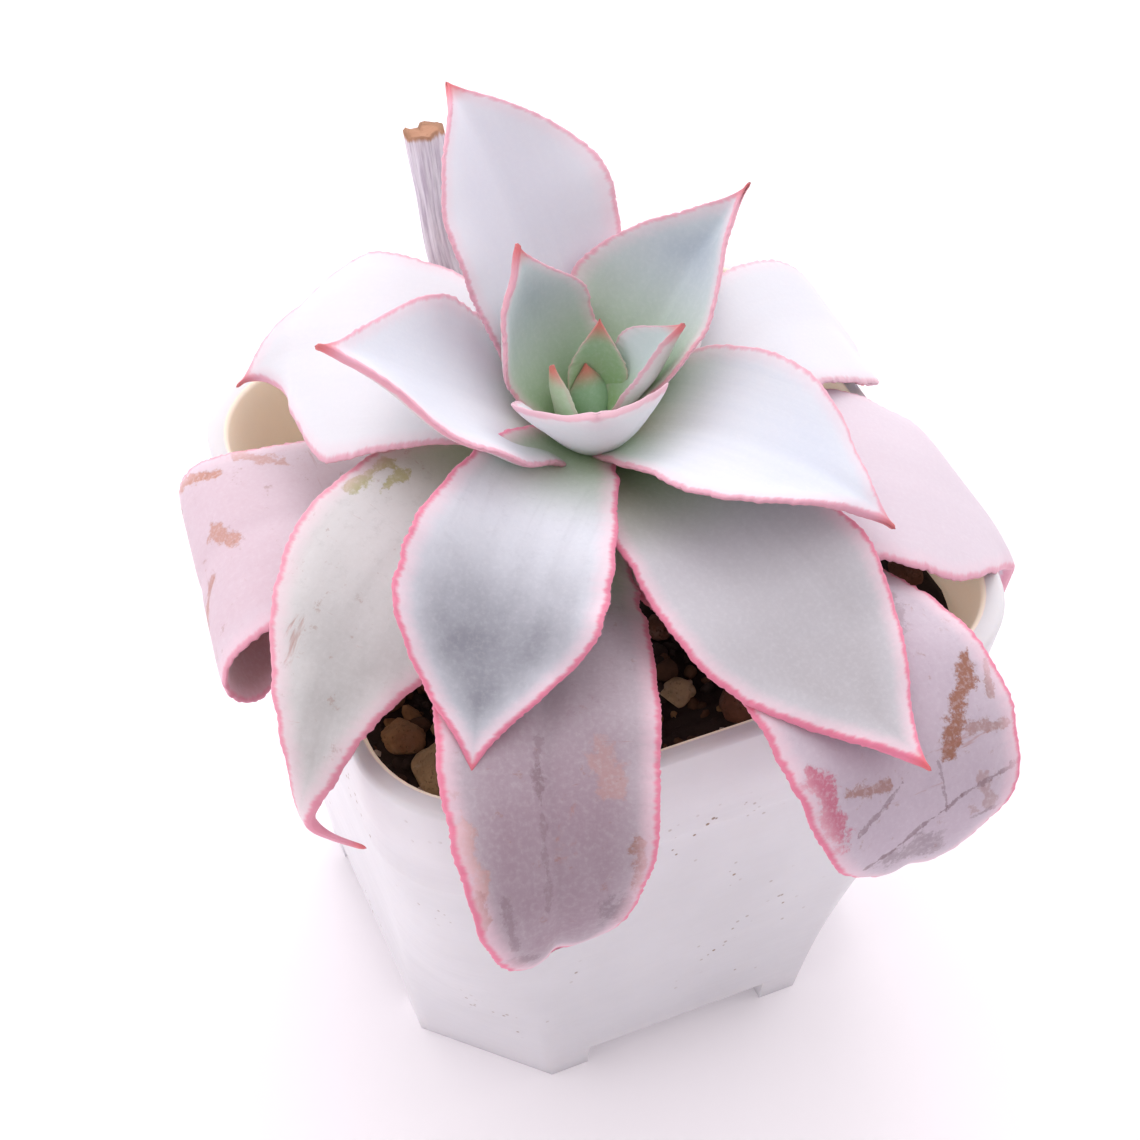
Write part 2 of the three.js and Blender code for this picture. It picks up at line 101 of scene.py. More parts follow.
class PotSettings(PropertyGroup):
    """Sizes and colours of the pot."""

    rim_width: length_setting("Rim Width", "Width of the flat top of the rim", 3, 1)
    rim_corner: length_setting("Rim Corner", "Radius of the rim's corners", 17.5, 1)
    band_height: length_setting("Band Height", "Height of the thicker band below the rim", 21, 2)
    plastic_colour: colour_setting("Plastic Colour", "Colour of the moulded plastic", 230, 226, 231)
    dirt_colour: colour_setting("Dirt Colour", "Colour of the specks of dried dirt", 140, 105, 80)


class SoilSettings(PropertyGroup):
    """Make-up of the soil."""

    grain_count: IntProperty(
        name="Grain Count", description="Loose grains lying on the soil",
        default=1500, min=0, max=4000)
    grain_size: length_setting("Grain Size", "Radius of a middling grain", 1.0, 0.2)
    soil_colour: colour_setting("Soil Colour", "Colour of the damp soil", 58, 48, 46)
    pebble_colour: colour_setting("Pebble Colour", "Main colour of the pebbles", 150, 112, 84)


class LeafSettings(PropertyGroup):
    """Sizes and colours that all the leaves share."""

    thickness: length_setting("Thickness", "Thickness of a full leaf near its root", 3.2, 0.5)
    crinkle: length_setting("Crinkle", "Height of the fine teeth along a margin", 0.1)
    margin_width: length_setting("Margin Width", "Width of the coloured band along a margin", 1.0)
    margin_colour: colour_setting("Margin Colour", "Colour of the crinkled margins", 232, 132, 160)
    tip_colour: colour_setting("Tip Colour", "Colour of the pointed tips", 222, 88, 84)
    root_colour: colour_setting(
        "Root Colour", "Colour of the leaves where they leave the stem", 146, 180, 112)
    scar_colour: colour_setting("Scar Colour", "Colour of old scars on the lowest leaves", 178, 122, 112)


class StageSettings(PropertyGroup):
    """Camera and light."""

    azimuth: angle_setting("Azimuth", "Direction that the camera looks along, from +Y towards +X", 24.35)
    elevation: angle_setting("Elevation", "How steeply the camera looks down", 46.67)
    roll: angle_setting("Roll", "Turn of the camera about its own line of sight", 1.34)
    distance: length_setting("Distance", "Distance from the camera to its aim", 388.7, 50)
    light_power: FloatProperty(
        name="Light Power", description="Power of the larger softbox; the other has half of it",
        default=4.2, min=0, unit="POWER")
    floor_colour: colour_setting("Floor Colour", "Colour of the plain floor", 250, 244, 249)


# ---- shader building -----------------------------------------------------------------------------

class Finish:
    """One material, built up a node at a time."""

    def __init__(self, name):
        self.material = bpy.data.materials.new(name)
        self.material.use_nodes = True
        self.tree = self.material.node_tree
        self.shader = self.tree.nodes["Principled BSDF"]
        self.colour = (1, 1, 1)

    def put(self, socket, value):
        if isinstance(value, bpy.types.NodeSocket):
            self.tree.links.new(value, socket)
        elif hasattr(value, "__len__") and socket.type == "RGBA":
            socket.default_value = (*value[:3], 1)
        else:
            socket.default_value = value

    def fill(self, node, values):
        """Sets a node's sockets by name; a low line in a name stands for a space."""
        for name, value in values.items():
            self.put(node.inputs[name.replace("_", " ")], value)
        return node

    def node(self, kind, **values):
        return self.fill(self.tree.nodes.new("ShaderNode" + kind), values)

    def set(self, **values):
        """Sets the shader's own sockets."""
        self.fill(self.shader, values)

    def stored(self, name, output):
        """What the piece keeps under a name: "Vector" for points, "Fac" for numbers."""
        node = self.node("Attribute")
        node.attribute_name = name
        return node.outputs[output]

    def point(self, name=None):
        """Places on the surface: a stored attribute, or the object's own coordinates."""
        if name is None:
            return self.node("TexCoord").outputs["Object"]
        return self.stored(name, "Vector")

    def value(self, name):
        return self.stored(name, "Fac")

    def math(self, operation, first, second=0.0):
        node = self.node("Math")
        node.operation = operation
        self.put(node.inputs[0], first)
        self.put(node.inputs[1], second)
        return node.outputs[0]

    def times(self, first, second):
        return self.math("MULTIPLY", first, second)

    def split(self, point):
        """The X, Y and Z of a point."""
        return self.node("SeparateXYZ", Vector=point).outputs

    def stretch(self, point, scale, shift=(0, 0, 0)):
        return self.node("Mapping", Vector=point, Scale=scale, Location=shift).outputs[0]

    def noise(self, point, scale, detail=3.0, roughness=0.55, warp=0.0):
        return self.node("TexNoise", Vector=point, Scale=scale, Detail=detail,
                         Roughness=roughness, Distortion=warp).outputs["Fac"]

    def cells(self, point, scale):
        return self.node("TexVoronoi", Vector=point, Scale=scale).outputs["Distance"]

    def between(self, value, low, high, start=0.0, end=1.0):
        """A smooth step from start to end while value goes from low to high."""
        node = self.node("MapRange")
        node.interpolation_type = "SMOOTHSTEP"
        for socket, given in zip(node.inputs, (value, low, high, start, end)):
            self.put(socket, given)
        return node.outputs[0]

    def mix(self, share, first, second):
        node = self.node("Mix")
        node.data_type = "RGBA"
        for place, value in ((0, share), (6, first), (7, second)):
            self.put(node.inputs[place], value)
        return node.outputs[2]

    def paint(self, share, colour):
        """Lays a colour over what is there, as strongly as share says."""
        self.colour = self.mix(share, self.colour, colour)

    def bump(self, height, distance, strength):
        node = self.node("Bump", Height=height, Distance=distance, Strength=strength)
        self.put(self.shader.inputs["Normal"], node.outputs[0])

    def stroke(self, point, start, end, width, fray):
        """A ragged line from start to end on a blade, 1 in its middle and 0 off it."""
        start = Vector((*start, 0)) * MM
        end = Vector((*end, 0)) * MM
        length = (end - start).length
        turn = math.atan2(end.y - start.y, end.x - start.x)
        node = self.node("Mapping", Vector=point, Location=(start + end) / 2, Rotation=(0, 0, turn))
        node.vector_type = "TEXTURE"
        along, across, _ = self.split(node.outputs[0])
        beside = self.math("ABSOLUTE", across)
        past = self.math("SUBTRACT", self.math("ABSOLUTE", along), length / 2)
        away = self.math("ADD", beside, self.math("MAXIMUM", past, 0.0))
        swing = self.times(self.math("SUBTRACT", fray, 0.5), (width * 4 + 2.5) * MM)
        ragged = self.math("ADD", away, swing)
        return self.between(ragged, width * MM * 0.45, width * MM * 1.05, 1.0, 0.0)


# ---- mesh building -------------------------------------------------------------------------------

def new_piece(name, points, faces, smooth=True):
    """A mesh object from points in metres, in the frame of the whole part."""
    mesh = bpy.data.meshes.new(name)
    mesh.from_pydata([tuple(p) for p in points], [], faces)
    mesh.validate()
    mesh.polygons.foreach_set("use_smooth", [smooth] * len(mesh.polygons))
    mesh.update()
    piece = bpy.data.objects.new(name, mesh)
    bpy.context.scene.collection.objects.link(piece)
    return piece


def store(piece, name, values):
    """Keeps one number, or one point, for each vertex under a name the shaders read."""
    values = np.asarray(values, dtype=np.float32)
    kind, field = ("FLOAT", "value") if values.ndim == 1 else ("FLOAT_VECTOR", "vector")
    attribute = piece.data.attributes.new(name, kind, "POINT")
    attribute.data.foreach_set(field, values.ravel())


def settle(piece, node, material):
    """Gives a piece its finish, and puts it in the place of a solid."""
    piece.data.materials.append(material)
    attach(piece, "root")
    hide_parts(node)


def skin_faces(rings, around):
    """Quads between rings that follow each other, with a face closing each end."""
    faces = []
    for r in range(rings - 1):
        for k in range(around):
            a = r * around + k
            b = r * around + (k + 1) % around
            faces.append((a, b, b + around, a + around))
    top = (rings - 1) * around
    faces.append(tuple(reversed(range(around))))
    faces.append(tuple(range(top, top + around)))
    return faces


def smoothstep(value, low, high):
    share = np.clip((value - low) / (high - low), 0, 1)
    return share * share * (3 - 2 * share)


def lerp(first, second, share):
    return first + (second - first) * share


def wobble(along, period, seed):
    """An irregular wave, about 1 high, along a length."""
    chance = np.random.default_rng(seed)
    total = np.zeros_like(along)
    for _ in range(6):
        pitch = period * chance.uniform(0.55, 1.7)
        total = total + np.sin(2 * np.pi * (along / pitch + chance.random()))
    return total / 2.4


def square_ring(half, corner, flat, z, steps=14):
    """A closed square outline; its corners go from round (flat 0) to cut straight (flat 1)."""
    ring = []
    for side in range(4):
        quarter = side * math.pi / 2
        for k in range(steps + 1):
            share = k / steps
            turn = share * math.pi / 2
            x_round = half - corner + corner * math.cos(turn)
            y_round = half - corner + corner * math.sin(turn)
            x = lerp(x_round, lerp(half, half - corner, share), flat)
            y = lerp(y_round, lerp(half - corner, half, share), flat)
            ring.append((x * math.cos(quarter) - y * math.sin(quarter),
                         x * math.sin(quarter) + y * math.cos(quarter), z))
    return ring


def placed(points):
    """Millimetres from the middle of the pot's foot to metres in the part's frame."""
    return [Vector(p) * MM + POT_CENTRE for p in points]


# ---- pot -----------------------------------------------------------------------------------------

BAND_DRAFT = 1.6
BAND_STEP = 1.0
BASE_HALF = 39.3
BASE_CHAMFER = 16.8
WALL = 2.0
FLOOR = 2.4
FOOT_HEIGHT = 5.2
FOOT_GAP_HALF = 16.0
DRAIN_RADIUS = 4.0
DRAIN_SPREAD = 26.0
SOIL_DEPTH = 14.0
SOIL_SLOPE = 4.0
SOIL_BUMP = 1.1
SOIL_ROUGHNESS = 0.28
SOIL_RINGS = 56
CLEARANCE = 0.3
LIP = 0.9
EDGE_SOFTNESS = 0.35
# shares of an inset that come off a corner's radius, on the body and at the rim
BODY_CORNER_SHARE = 0.6
RIM_CORNER_SHARE = 0.4
# share of the body's height where the cut corners have become round
CHAMFER_TOP = 0.72


class PotShape:
    """Outlines of the pot at each height, in millimetres."""

    def __init__(self, settings):
        self.rim_width = settings.rim_width / MM
        self.rim_corner = settings.rim_corner / MM
        self.band_bottom = POT_HEIGHT - settings.band_height / MM
        self.body_top_half = POT_HALF - BAND_DRAFT - BAND_STEP
        self.floor_top = FOOT_HEIGHT + FLOOR

    def flat_at(self, z):
        return 1 - float(smoothstep(z, 0, self.band_bottom * CHAMFER_TOP))

    def body_half(self, z):
        return lerp(BASE_HALF, self.body_top_half, z / self.band_bottom)

    def body_ring(self, z):
        corner = lerp(BASE_CHAMFER, self.rim_corner, z / self.band_bottom)
        return square_ring(self.body_half(z), corner, self.flat_at(z), z)

    def inside_ring(self, z, gap=0.0):
        share = (z - self.floor_top) / (POT_HEIGHT - self.floor_top)
        floor_half = self.body_half(self.floor_top) - WALL
        half = lerp(floor_half, POT_HALF - self.rim_width, share)
        floor_corner = BASE_CHAMFER - WALL * BODY_CORNER_SHARE
        corner = lerp(floor_corner, self.rim_corner - self.rim_width * RIM_CORNER_SHARE, share)
        return square_ring(half - gap, corner - gap * BODY_CORNER_SHARE, self.flat_at(z), z)


def cut(piece, cutters):
    """Cuts each cutter's shape out of a piece, and takes the cutters away."""
    for cutter in cutters:
        step = piece.modifiers.new("cut", "BOOLEAN")
        step.operation = "DIFFERENCE"
        step.solver = "EXACT"
        step.object = cutter
    apply_modifiers(piece)
    for cutter in cutters:
        mesh = cutter.data
        bpy.data.objects.remove(cutter)
        bpy.data.meshes.remove(mesh)


def apply_modifiers(piece):
    bpy.context.view_layer.update()
    graph = bpy.context.evaluated_depsgraph_get()
    mesh = bpy.data.meshes.new_from_object(piece.evaluated_get(graph))
    old = piece.data
    piece.modifiers.clear()
    piece.data = mesh
    bpy.data.meshes.remove(old)
    mesh.name = piece.name


def block(name, low, high):
    """A box between two corners, in millimetres from the pot's middle."""
    corners = [(x, y, z) for z in (low[2], high[2]) for x, y in (
        (low[0], low[1]), (high[0], low[1]), (high[0], high[1]), (low[0], high[1]))]
    return new_piece(name, placed(corners), skin_faces(2, 4), smooth=False)


def drain_plug(name, x, y, height):
    around = 24
    points = []
    for z in (-1.0, height):
        for k in range(around):
            turn = 2 * math.pi * k / around
            points.append((x + DRAIN_RADIUS * math.cos(turn), y + DRAIN_RADIUS * math.sin(turn), z))
    return new_piece(name, placed(points), skin_faces(2, around), smooth=False)


def plastic(settings):
    """Moulded white plastic with flow marks, fine scratches and specks of dirt.

    The upper inside of the wall is painted a pale warm tone and made to glow a little: painted light
    standing in for the light that passes through the thin wall.
    """
    finish = Finish("moulded_plastic")
    place = finish.point()
    clouds = finish.noise(place, 38, 4)
    dust = finish.between(finish.noise(place, 160, 6, 0.7), 0.6, 0.78)
    facing = finish.node("VectorMath")
    facing.operation = "DOT_PRODUCT"
    finish.put(facing.inputs[0], finish.node("NewGeometry").outputs["Normal"])
    finish.put(facing.inputs[1], finish.stretch(place, (1, 1, 0), tuple(-POT_CENTRE)))
    inside = finish.times(finish.between(facing.outputs["Value"], -0.02, -0.004, 1.0, 0.0),
                         finish.between(finish.split(place)[2], 0.06, 0.066))
    base = settings.plastic_colour
    worn = tuple(c * 0.93 for c in base)
    finish.colour = finish.mix(finish.between(clouds, 0.35, 0.7), base, worn)
    warm = finish.mix(0.5, base, tone(226, 212, 200))
    finish.paint(finish.times(dust, 0.25), warm)
    sparse = finish.between(finish.noise(place, 60, 2), 0.57, 0.68)
    speck = finish.between(finish.cells(place, 520), 0.11, 0.2, 1.0, 0.0)
    crumbs = finish.times(speck, sparse)
    # Painted light: the upper inner wall is painted a pale warm tone for the light that comes through the
    # thin wall.
    finish.paint(finish.times(inside, 0.9), tone(252, 232, 214))
    finish.paint(crumbs, settings.dirt_colour)
    scratch = finish.noise(finish.stretch(place, (90, 90, 900)), 1.0, 4, 0.6, 0.4)
    finish.set(
        Base_Color=finish.colour,
        Roughness=finish.between(scratch, 0.3, 0.75, 0.34, 0.5),
        Subsurface_Weight=0.35,
        Subsurface_Radius=(0.006, 0.005, 0.0042),
        Subsurface_Scale=1.0,
        # Painted light: the upper inner wall glows a little, though it is no lamp.
        Emission_Color=tone(255, 226, 204),
        Emission_Strength=finish.times(inside, 0.22),
    )
    grain = finish.math("ADD", finish.noise(place, 900, 3), finish.times(crumbs, 2.0))
    finish.bump(grain, 0.00008, 0.5)
    return finish.material


class SUCCULENT_OT_pot(Operator):
    """Build the square pot with its banded rim, chamfered corners, feet and drain holes"""

    bl_idname = "succulent.pot"
    bl_label = "Pot"

    def execute(self, context):
        settings = context.scene.succulent_pot
        shape = PotShape(settings)
        half = POT_HALF
        corner = shape.rim_corner
        band = shape.band_bottom
        inner = half - shape.rim_width
        inner_corner = corner - shape.rim_width * RIM_CORNER_SHARE
        rings = [shape.body_ring(share * band) for share in np.linspace(0, 1, 24)]
        rings += [
            square_ring(half - BAND_DRAFT - 0.35, corner, 0, band + 0.05),
            square_ring(half - BAND_DRAFT, corner, 0, band + 0.4),
            square_ring(half - BAND_DRAFT * 0.5, corner, 0, (band + POT_HEIGHT) / 2),
        ]
        for turn in np.linspace(0, math.pi / 2, 6):
            out = half - LIP + LIP * math.cos(turn)
            rings.append(square_ring(out, corner - half + out, 0, POT_HEIGHT - LIP + LIP * math.sin(turn)))
        for turn in np.linspace(0, math.pi / 2, 5):
            inset = inner + LIP * (1 - math.sin(turn))
            drop = POT_HEIGHT - LIP * (1 - math.cos(turn))
            rings.append(square_ring(inset, inner_corner + inset - inner, 0, drop))
        rings += [shape.inside_ring(z) for z in np.linspace(POT_HEIGHT - 2, shape.floor_top, 20)]
        around = len(rings[0])
        points = placed([p for ring in rings for p in ring])
        pot = new_piece("square_pot", points, skin_faces(len(rings), around))
        reach = half * 2
        gap = FOOT_GAP_HALF
        spread = DRAIN_SPREAD / 2
        cutters = [
            block("gap_x", (-reach, -gap, -2), (reach, gap, FOOT_HEIGHT)),
            block("gap_y", (-gap, -reach, -2), (gap, reach, FOOT_HEIGHT)),
        ]
        for x, y in ((0, 0), (1, 1), (1, -1), (-1, 1), (-1, -1)):
            cutters.append(drain_plug("drain", x * spread, y * spread, shape.floor_top + 2))
        cut(pot, cutters)
        soften = pot.modifiers.new("soften", "BEVEL")
        soften.width = EDGE_SOFTNESS * MM
        soften.segments = 2
        soften.limit_method = "ANGLE"
        soften.angle_limit = math.radians(50)
        apply_modifiers(pot)
        pot.data.polygons.foreach_set("use_smooth", [True] * len(pot.data.polygons))
        settle(pot, "pot", plastic(settings))
        return {"FINISHED"}


# ---- soil and stones -----------------------------------------------------------------------------

SOIL_LEVEL = POT_HEIGHT - SOIL_DEPTH


def soil_height(x, y):
    bumps = np.sin(x * 0.31 + 1) * np.cos(y * 0.27) + 0.6 * np.sin(x * 0.13 + y * 0.4)
    return SOIL_LEVEL + SOIL_SLOPE * (x / POT_HALF - 0.35 * y / POT_HALF) + SOIL_BUMP * bumps


def lump(radius, seed, rounds, squash=(1.12, 0.88, 0.72), roughness=0.16):
    """Points and faces of an uneven stone about the origin."""
    shape = bmesh.new()
    bmesh.ops.create_icosphere(shape, subdivisions=rounds, radius=1.0)
    chance = np.random.default_rng(seed)
    points = np.array([v.co for v in shape.verts])
    faces = [tuple(v.index for v in f.verts) for f in shape.faces]
    shape.free()
    swell = np.ones(len(points))
    for size in (1.6, 3.1, 5.5, 9.0):
        direction = chance.normal(size=(3, 3)) * size * 0.6
        waves = np.sin(points @ direction + chance.uniform(0, 6.3, 3))
        swell += roughness * waves.sum(axis=1) / (1.2 * size ** 0.8)
    for _ in range(7):
        side = chance.normal(size=3)
        side /= np.linalg.norm(side)
        level = chance.uniform(0.72, 0.9)
        reach = points @ side * swell
        swell = np.where(reach > level, swell * level / np.maximum(reach, 1e-6), swell)
    return points * swell[:, None] * np.array(squash) * radius, faces


def turned(points, chance):
    """Points turned all ways by chance."""
    spin = Matrix.Rotation(chance.uniform(0, 2 * math.pi), 3, "Z")
    for axis in ("X", "Y"):
        spin = spin @ Matrix.Rotation(chance.uniform(0, math.pi), 3, axis)
    return points @ np.array(spin).T


def soil_finish(settings):
    """Damp black soil with grit of several colours; each grain keeps one tone."""
    finish = Finish("gritty_soil")
    place = finish.point()
    grain = finish.value("grain_tone")
    dark = settings.soil_colour
    brown = tone(92, 66, 50)
    tan = tone(160, 124, 88)
    ash = tone(196, 186, 176)
    finish.colour = finish.mix(finish.between(grain, 0.45, 0.6), dark, brown)
    finish.paint(finish.between(grain, 0.78, 0.86), tan)
    finish.paint(finish.between(grain, 0.95, 0.97), ash)
    patches = finish.between(finish.noise(place, 420, 5, 0.7), 0.4, 0.75)
    finish.paint(finish.times(patches, 0.55), tone(38, 30, 30))
    finish.set(Base_Color=finish.colour, Roughness=0.92, Specular_IOR_Level=0.25)
    finish.bump(finish.noise(place, 2600, 5, 0.7), 0.0002, 0.9)
    return finish.material


def pebble_finish(name, settings, seed):
    """One pebble's stone: its own hue, pale and rusty patches, and fine pits."""
    chance = np.random.default_rng(seed)
    finish = Finish(name)
    place = finish.stretch(finish.point(), (1, 1, 1), tuple(chance.uniform(0, 1, 3)))
    hues = (settings.pebble_colour, tone(186, 146, 108), tone(128, 84, 66), tone(205, 178, 142))
    base = hues[int(chance.integers(len(hues)))]
    dusk = tuple(c * 0.6 for c in base)
    pale = tuple(lerp(c, 0.75, 0.35) for c in base)
    veins = finish.noise(place, 190, 6, 0.65, 1.2)
    finish.colour = finish.mix(finish.between(veins, 0.42, 0.62), dusk, base)
    finish.paint(finish.between(finish.noise(place, 340, 5, 0.6), 0.52, 0.72), pale)
    rust = finish.between(finish.noise(place, 120, 3), 0.56, 0.7)
    finish.paint(finish.times(rust, 0.7), tone(128, 60, 44))
    pits = finish.between(finish.cells(place, 1500), 0.1, 0.35)
    finish.colour = finish.mix(finish.times(pits, 0.35), dusk, finish.colour)
    finish.set(Base_Color=finish.colour, Roughness=0.8, Specular_IOR_Level=0.35)
    finish.bump(finish.math("ADD", finish.noise(place, 1300, 5, 0.7), pits), 0.00025, 0.8)
    return finish.material


class SUCCULENT_OT_soil(Operator):
    """Build the uneven soil and the loose grains lying on it"""

    bl_idname = "succulent.soil"
    bl_label = "Soil"

    def execute(self, context):
        settings = context.scene.succulent_soil
        shape = PotShape(context.scene.succulent_pot)
        bottom = shape.floor_top + CLEARANCE
        rings = [shape.inside_ring(z, CLEARANCE) for z in np.linspace(bottom, SOIL_LEVEL - 3, 8)]
        outline = np.array(shape.inside_ring(SOIL_LEVEL, CLEARANCE))
        chance = np.random.default_rng(11)
        for r in range(SOIL_RINGS, 0, -1):
            ring = outline.copy()
            ring[:, :2] *= r / SOIL_RINGS
            rough = chance.normal(0, SOIL_ROUGHNESS, len(ring)) if r < SOIL_RINGS else 0
            ring[:, 2] = soil_height(ring[:, 0], ring[:, 1]) + rough
            rings.append([tuple(p) for p in ring])
        around = len(outline)
        points = [p for ring in rings for p in ring]
        faces = skin_faces(len(rings), around)
        tones = list(np.full(len(points), 0.2))
        self.scatter(settings, shape, points, faces, tones)
        soil = new_piece("potting_soil", placed(points), faces)
        store(soil, "grain_tone", tones)
        settle(soil, "soil", soil_finish(settings))
        return {"FINISHED"}

    def scatter(self, settings, shape, points, faces, tones):
        """Adds the loose grains to the soil's points and faces."""
        chance = np.random.default_rng(5)
        reach = POT_HALF - shape.rim_width - 3
        for number in range(settings.grain_count):
            x, y = chance.uniform(-reach, reach, 2)
            corner = max(abs(x) - (reach - 14), 0) ** 2 + max(abs(y) - (reach - 14), 0) ** 2
            if corner > 13.5 ** 2:
                continue
            radius = settings.grain_size / MM * chance.lognormal(0, 0.42)
            body, sides = lump(min(radius, 2.6), 100 + number, 2)
            body = turned(body, chance) + np.array((x, y, soil_height(x, y) + radius * 0.25))
            first = len(points)
            points.extend(tuple(p) for p in body)
            faces.extend(tuple(first + k for k in side) for side in sides)
            tones.extend([chance.random()] * len(body))


class SUCCULENT_OT_pebbles(Operator):
    """Build the pebbles that lie on the soil"""

    bl_idname = "succulent.pebbles"
    bl_label = "Pebbles"

    def execute(self, context):
        settings = context.scene.succulent_soil
        nodes = sorted(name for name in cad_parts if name.startswith("stone_"))
        for number, node in enumerate(nodes):
            low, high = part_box(node)
            centre = (low + high) / 2
            size = (high - low) / 2
            chance = np.random.default_rng(40 + number)
            points, faces = lump(1.0, 60 + number, 4, squash=(1, 1, 1))
            points = turned(points, chance)
            points *= 1.02 / np.abs(points).max(axis=0)
            points = [Vector(p * np.array(size)) + centre for p in points]
            pebble = new_piece(f"pebble_{number + 1:02d}", points, faces)
            material = pebble_finish(f"pebble_stone_{number + 1:02d}", settings, number)
            settle(pebble, node, material)
        return {"FINISHED"}


# ---- stem and stalk ------------------------------------------------------------------------------

STEM_RADIUS = 6.2
STALK_RADIUS = 2.7
STALK_SWELL = 1.12
STALK_LENGTH = 60


def bark():
    """Dry stem: tan with darker rings where old leaves came off."""
    finish = Finish("dry_stem")
    place = finish.point()
    rings = finish.noise(finish.stretch(place, (60, 60, 700)), 1.0, 4, 0.6, 0.6)
    finish.colour = finish.mix(finish.between(rings, 0.35, 0.65), tone(118, 96, 70), tone(176, 160, 128))
    green = finish.between(finish.noise(place, 80, 3), 0.45, 0.7)
    finish.paint(finish.times(green, 0.5), tone(150, 168, 120))
    finish.set(Base_Color=finish.colour, Roughness=0.85)
    finish.bump(rings, 0.0006, 0.8)
    return finish.material


def stalk_finish():
    """Pale lilac stalk with fine lengthwise streaks, drying brown at the cut."""
    finish = Finish("cut_stalk_skin")
    place = finish.point("blade")
    along = finish.value("share")
    streaks = finish.noise(finish.stretch(place, (2600, 120, 1)), 1.0, 4, 0.6)
    finish.colour = finish.mix(finish.between(streaks, 0.35, 0.7), tone(238, 230, 240), tone(196, 182, 200))
    patches = finish.between(finish.noise(finish.point(), 110, 4), 0.5, 0.7)
    finish.paint(finish.times(patches, 0.5), tone(226, 206, 214))
    base = finish.between(along, 0.12, 0.42, 1.0, 0.0)
    finish.paint(base, tone(186, 190, 168))
    ragged = finish.math("ADD", along, finish.times(streaks, 0.03))
    finish.paint(finish.between(ragged, 0.995, 1.012), tone(190, 140, 112))
    finish.set(Base_Color=finish.colour, Roughness=0.8)
    finish.bump(streaks, 0.0003, 0.7)
    return finish.material


class SUCCULENT_OT_stem(Operator):
    """Build the short woody stem under the leaves"""

    bl_idname = "succulent.stem"
    bl_label = "Stem"

    def execute(self, context):
        low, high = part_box("stem")
        bottom, top = low.z / MM, high.z / MM
        heights = np.linspace(0, 1, 60)
        radius = np.interp(heights, (0, 0.45, 0.72, 0.88, 1), (0.55, 1, 1, 0.8, 0.38)) * STEM_RADIUS
        turn = np.linspace(0, 2 * np.pi, 40, endpoint=False)
        points = []
        for share, reach in zip(heights, radius):
            scars = 0.25 * np.sin(3 * turn + share * 60) + 0.2 * math.sin(share * 140)
            for angle, scar in zip(turn, scars):
                out = max(reach - 0.3 + scar * 0.8, 0.5)
                points.append((out * math.cos(angle), out * math.sin(angle), lerp(bottom, top, share)))
        stem = new_piece("woody_stem", placed(points), skin_faces(len(heights), len(turn)))
        settle(stem, "stem", bark())
        return {"FINISHED"}


def smooth_path(points, steps):
    """Points along a smooth curve through the given points, and the direction at each."""
    knots = [np.array(p, float) for p in points]
    knots = [2 * knots[0] - knots[1], *knots, 2 * knots[-1] - knots[-2]]
    places = []
    for share in np.linspace(0, len(points) - 1, steps + 1):
        k = min(int(share), len(points) - 2)
        t = share - k
        a, b, c, d = knots[k:k + 4]
        places.append(0.5 * (2 * b + (c - a) * t + (2 * a - 5 * b + 4 * c - d) * t ** 2
                             + (3 * b - a - 3 * c + d) * t ** 3))
    places = np.array(places)
    along = np.gradient(places, axis=0)
    return places, along / np.linalg.norm(along, axis=1)[:, None]


class SUCCULENT_OT_stalk(Operator):
    """Build the old flower stalk, cut off raggedly"""

    bl_idname = "succulent.stalk"
    bl_label = "Cut Stalk"

    def execute(self, context):
        route = [
            (-1, STEM_RADIUS + 1, POT_HEIGHT - 1),
            (-4, 24, POT_HEIGHT + 6),
            (-8, 38, POT_HEIGHT + 20),
            (-9, 45, POT_HEIGHT + 41),
        ]
        steps = 150
        places, along = smooth_path(route, steps)
        turn = np.linspace(0, 2 * np.pi, 48, endpoint=False)
        chance = np.random.default_rng(3)
        points = []
        shares = []
        blade = []
        ribs = 0.1 * np.sin(11 * turn) + 0.08 * np.sin(17 * turn + 1)
        rag = np.interp(turn, np.linspace(0, 2 * np.pi, 15), np.append(chance.uniform(-1.1, 0.4, 14), -0.2))
        for step, (place, way) in enumerate(zip(places, along)):
            share = step / steps
            across = np.cross(way, (1, 0, 0))
            across /= np.linalg.norm(across)
            beside = np.cross(way, across)
            thick = STALK_RADIUS * lerp(1, STALK_SWELL, share) * (1 + 0.06 * math.sin(share * 21))
            end = smoothstep(share, 0.97, 1)
            for angle, rib, edge in zip(turn, ribs, rag):
                out = thick + rib - 0.15
                point = place + across * out * math.cos(angle) + beside * out * math.sin(angle)
                points.append(point + way * edge * end)
                shares.append(share)
                blade.append((angle * STALK_RADIUS * MM, share * STALK_LENGTH * MM, 0))
        for inset in (0.7, 0.3):
            for angle, edge in zip(turn, rag):
                out = STALK_RADIUS * STALK_SWELL * inset
                drop = (1 - inset) * -1.2 + edge * inset
                points.append(places[-1] + across * out * math.cos(angle)
                              + beside * out * math.sin(angle) + way * drop)
                shares.append(1.0)
                blade.append((out * math.cos(angle) * MM, out * math.sin(angle) * MM, 0))
        stalk = new_piece("flower_stalk", placed(points), skin_faces(steps + 3, len(turn)))
        store(stalk, "share", shares)
        store(stalk, "blade", blade)
        settle(stalk, "cut_stalk", stalk_finish())
        return {"FINISHED"}


# ---- leaves --------------------------------------------------------------------------------------

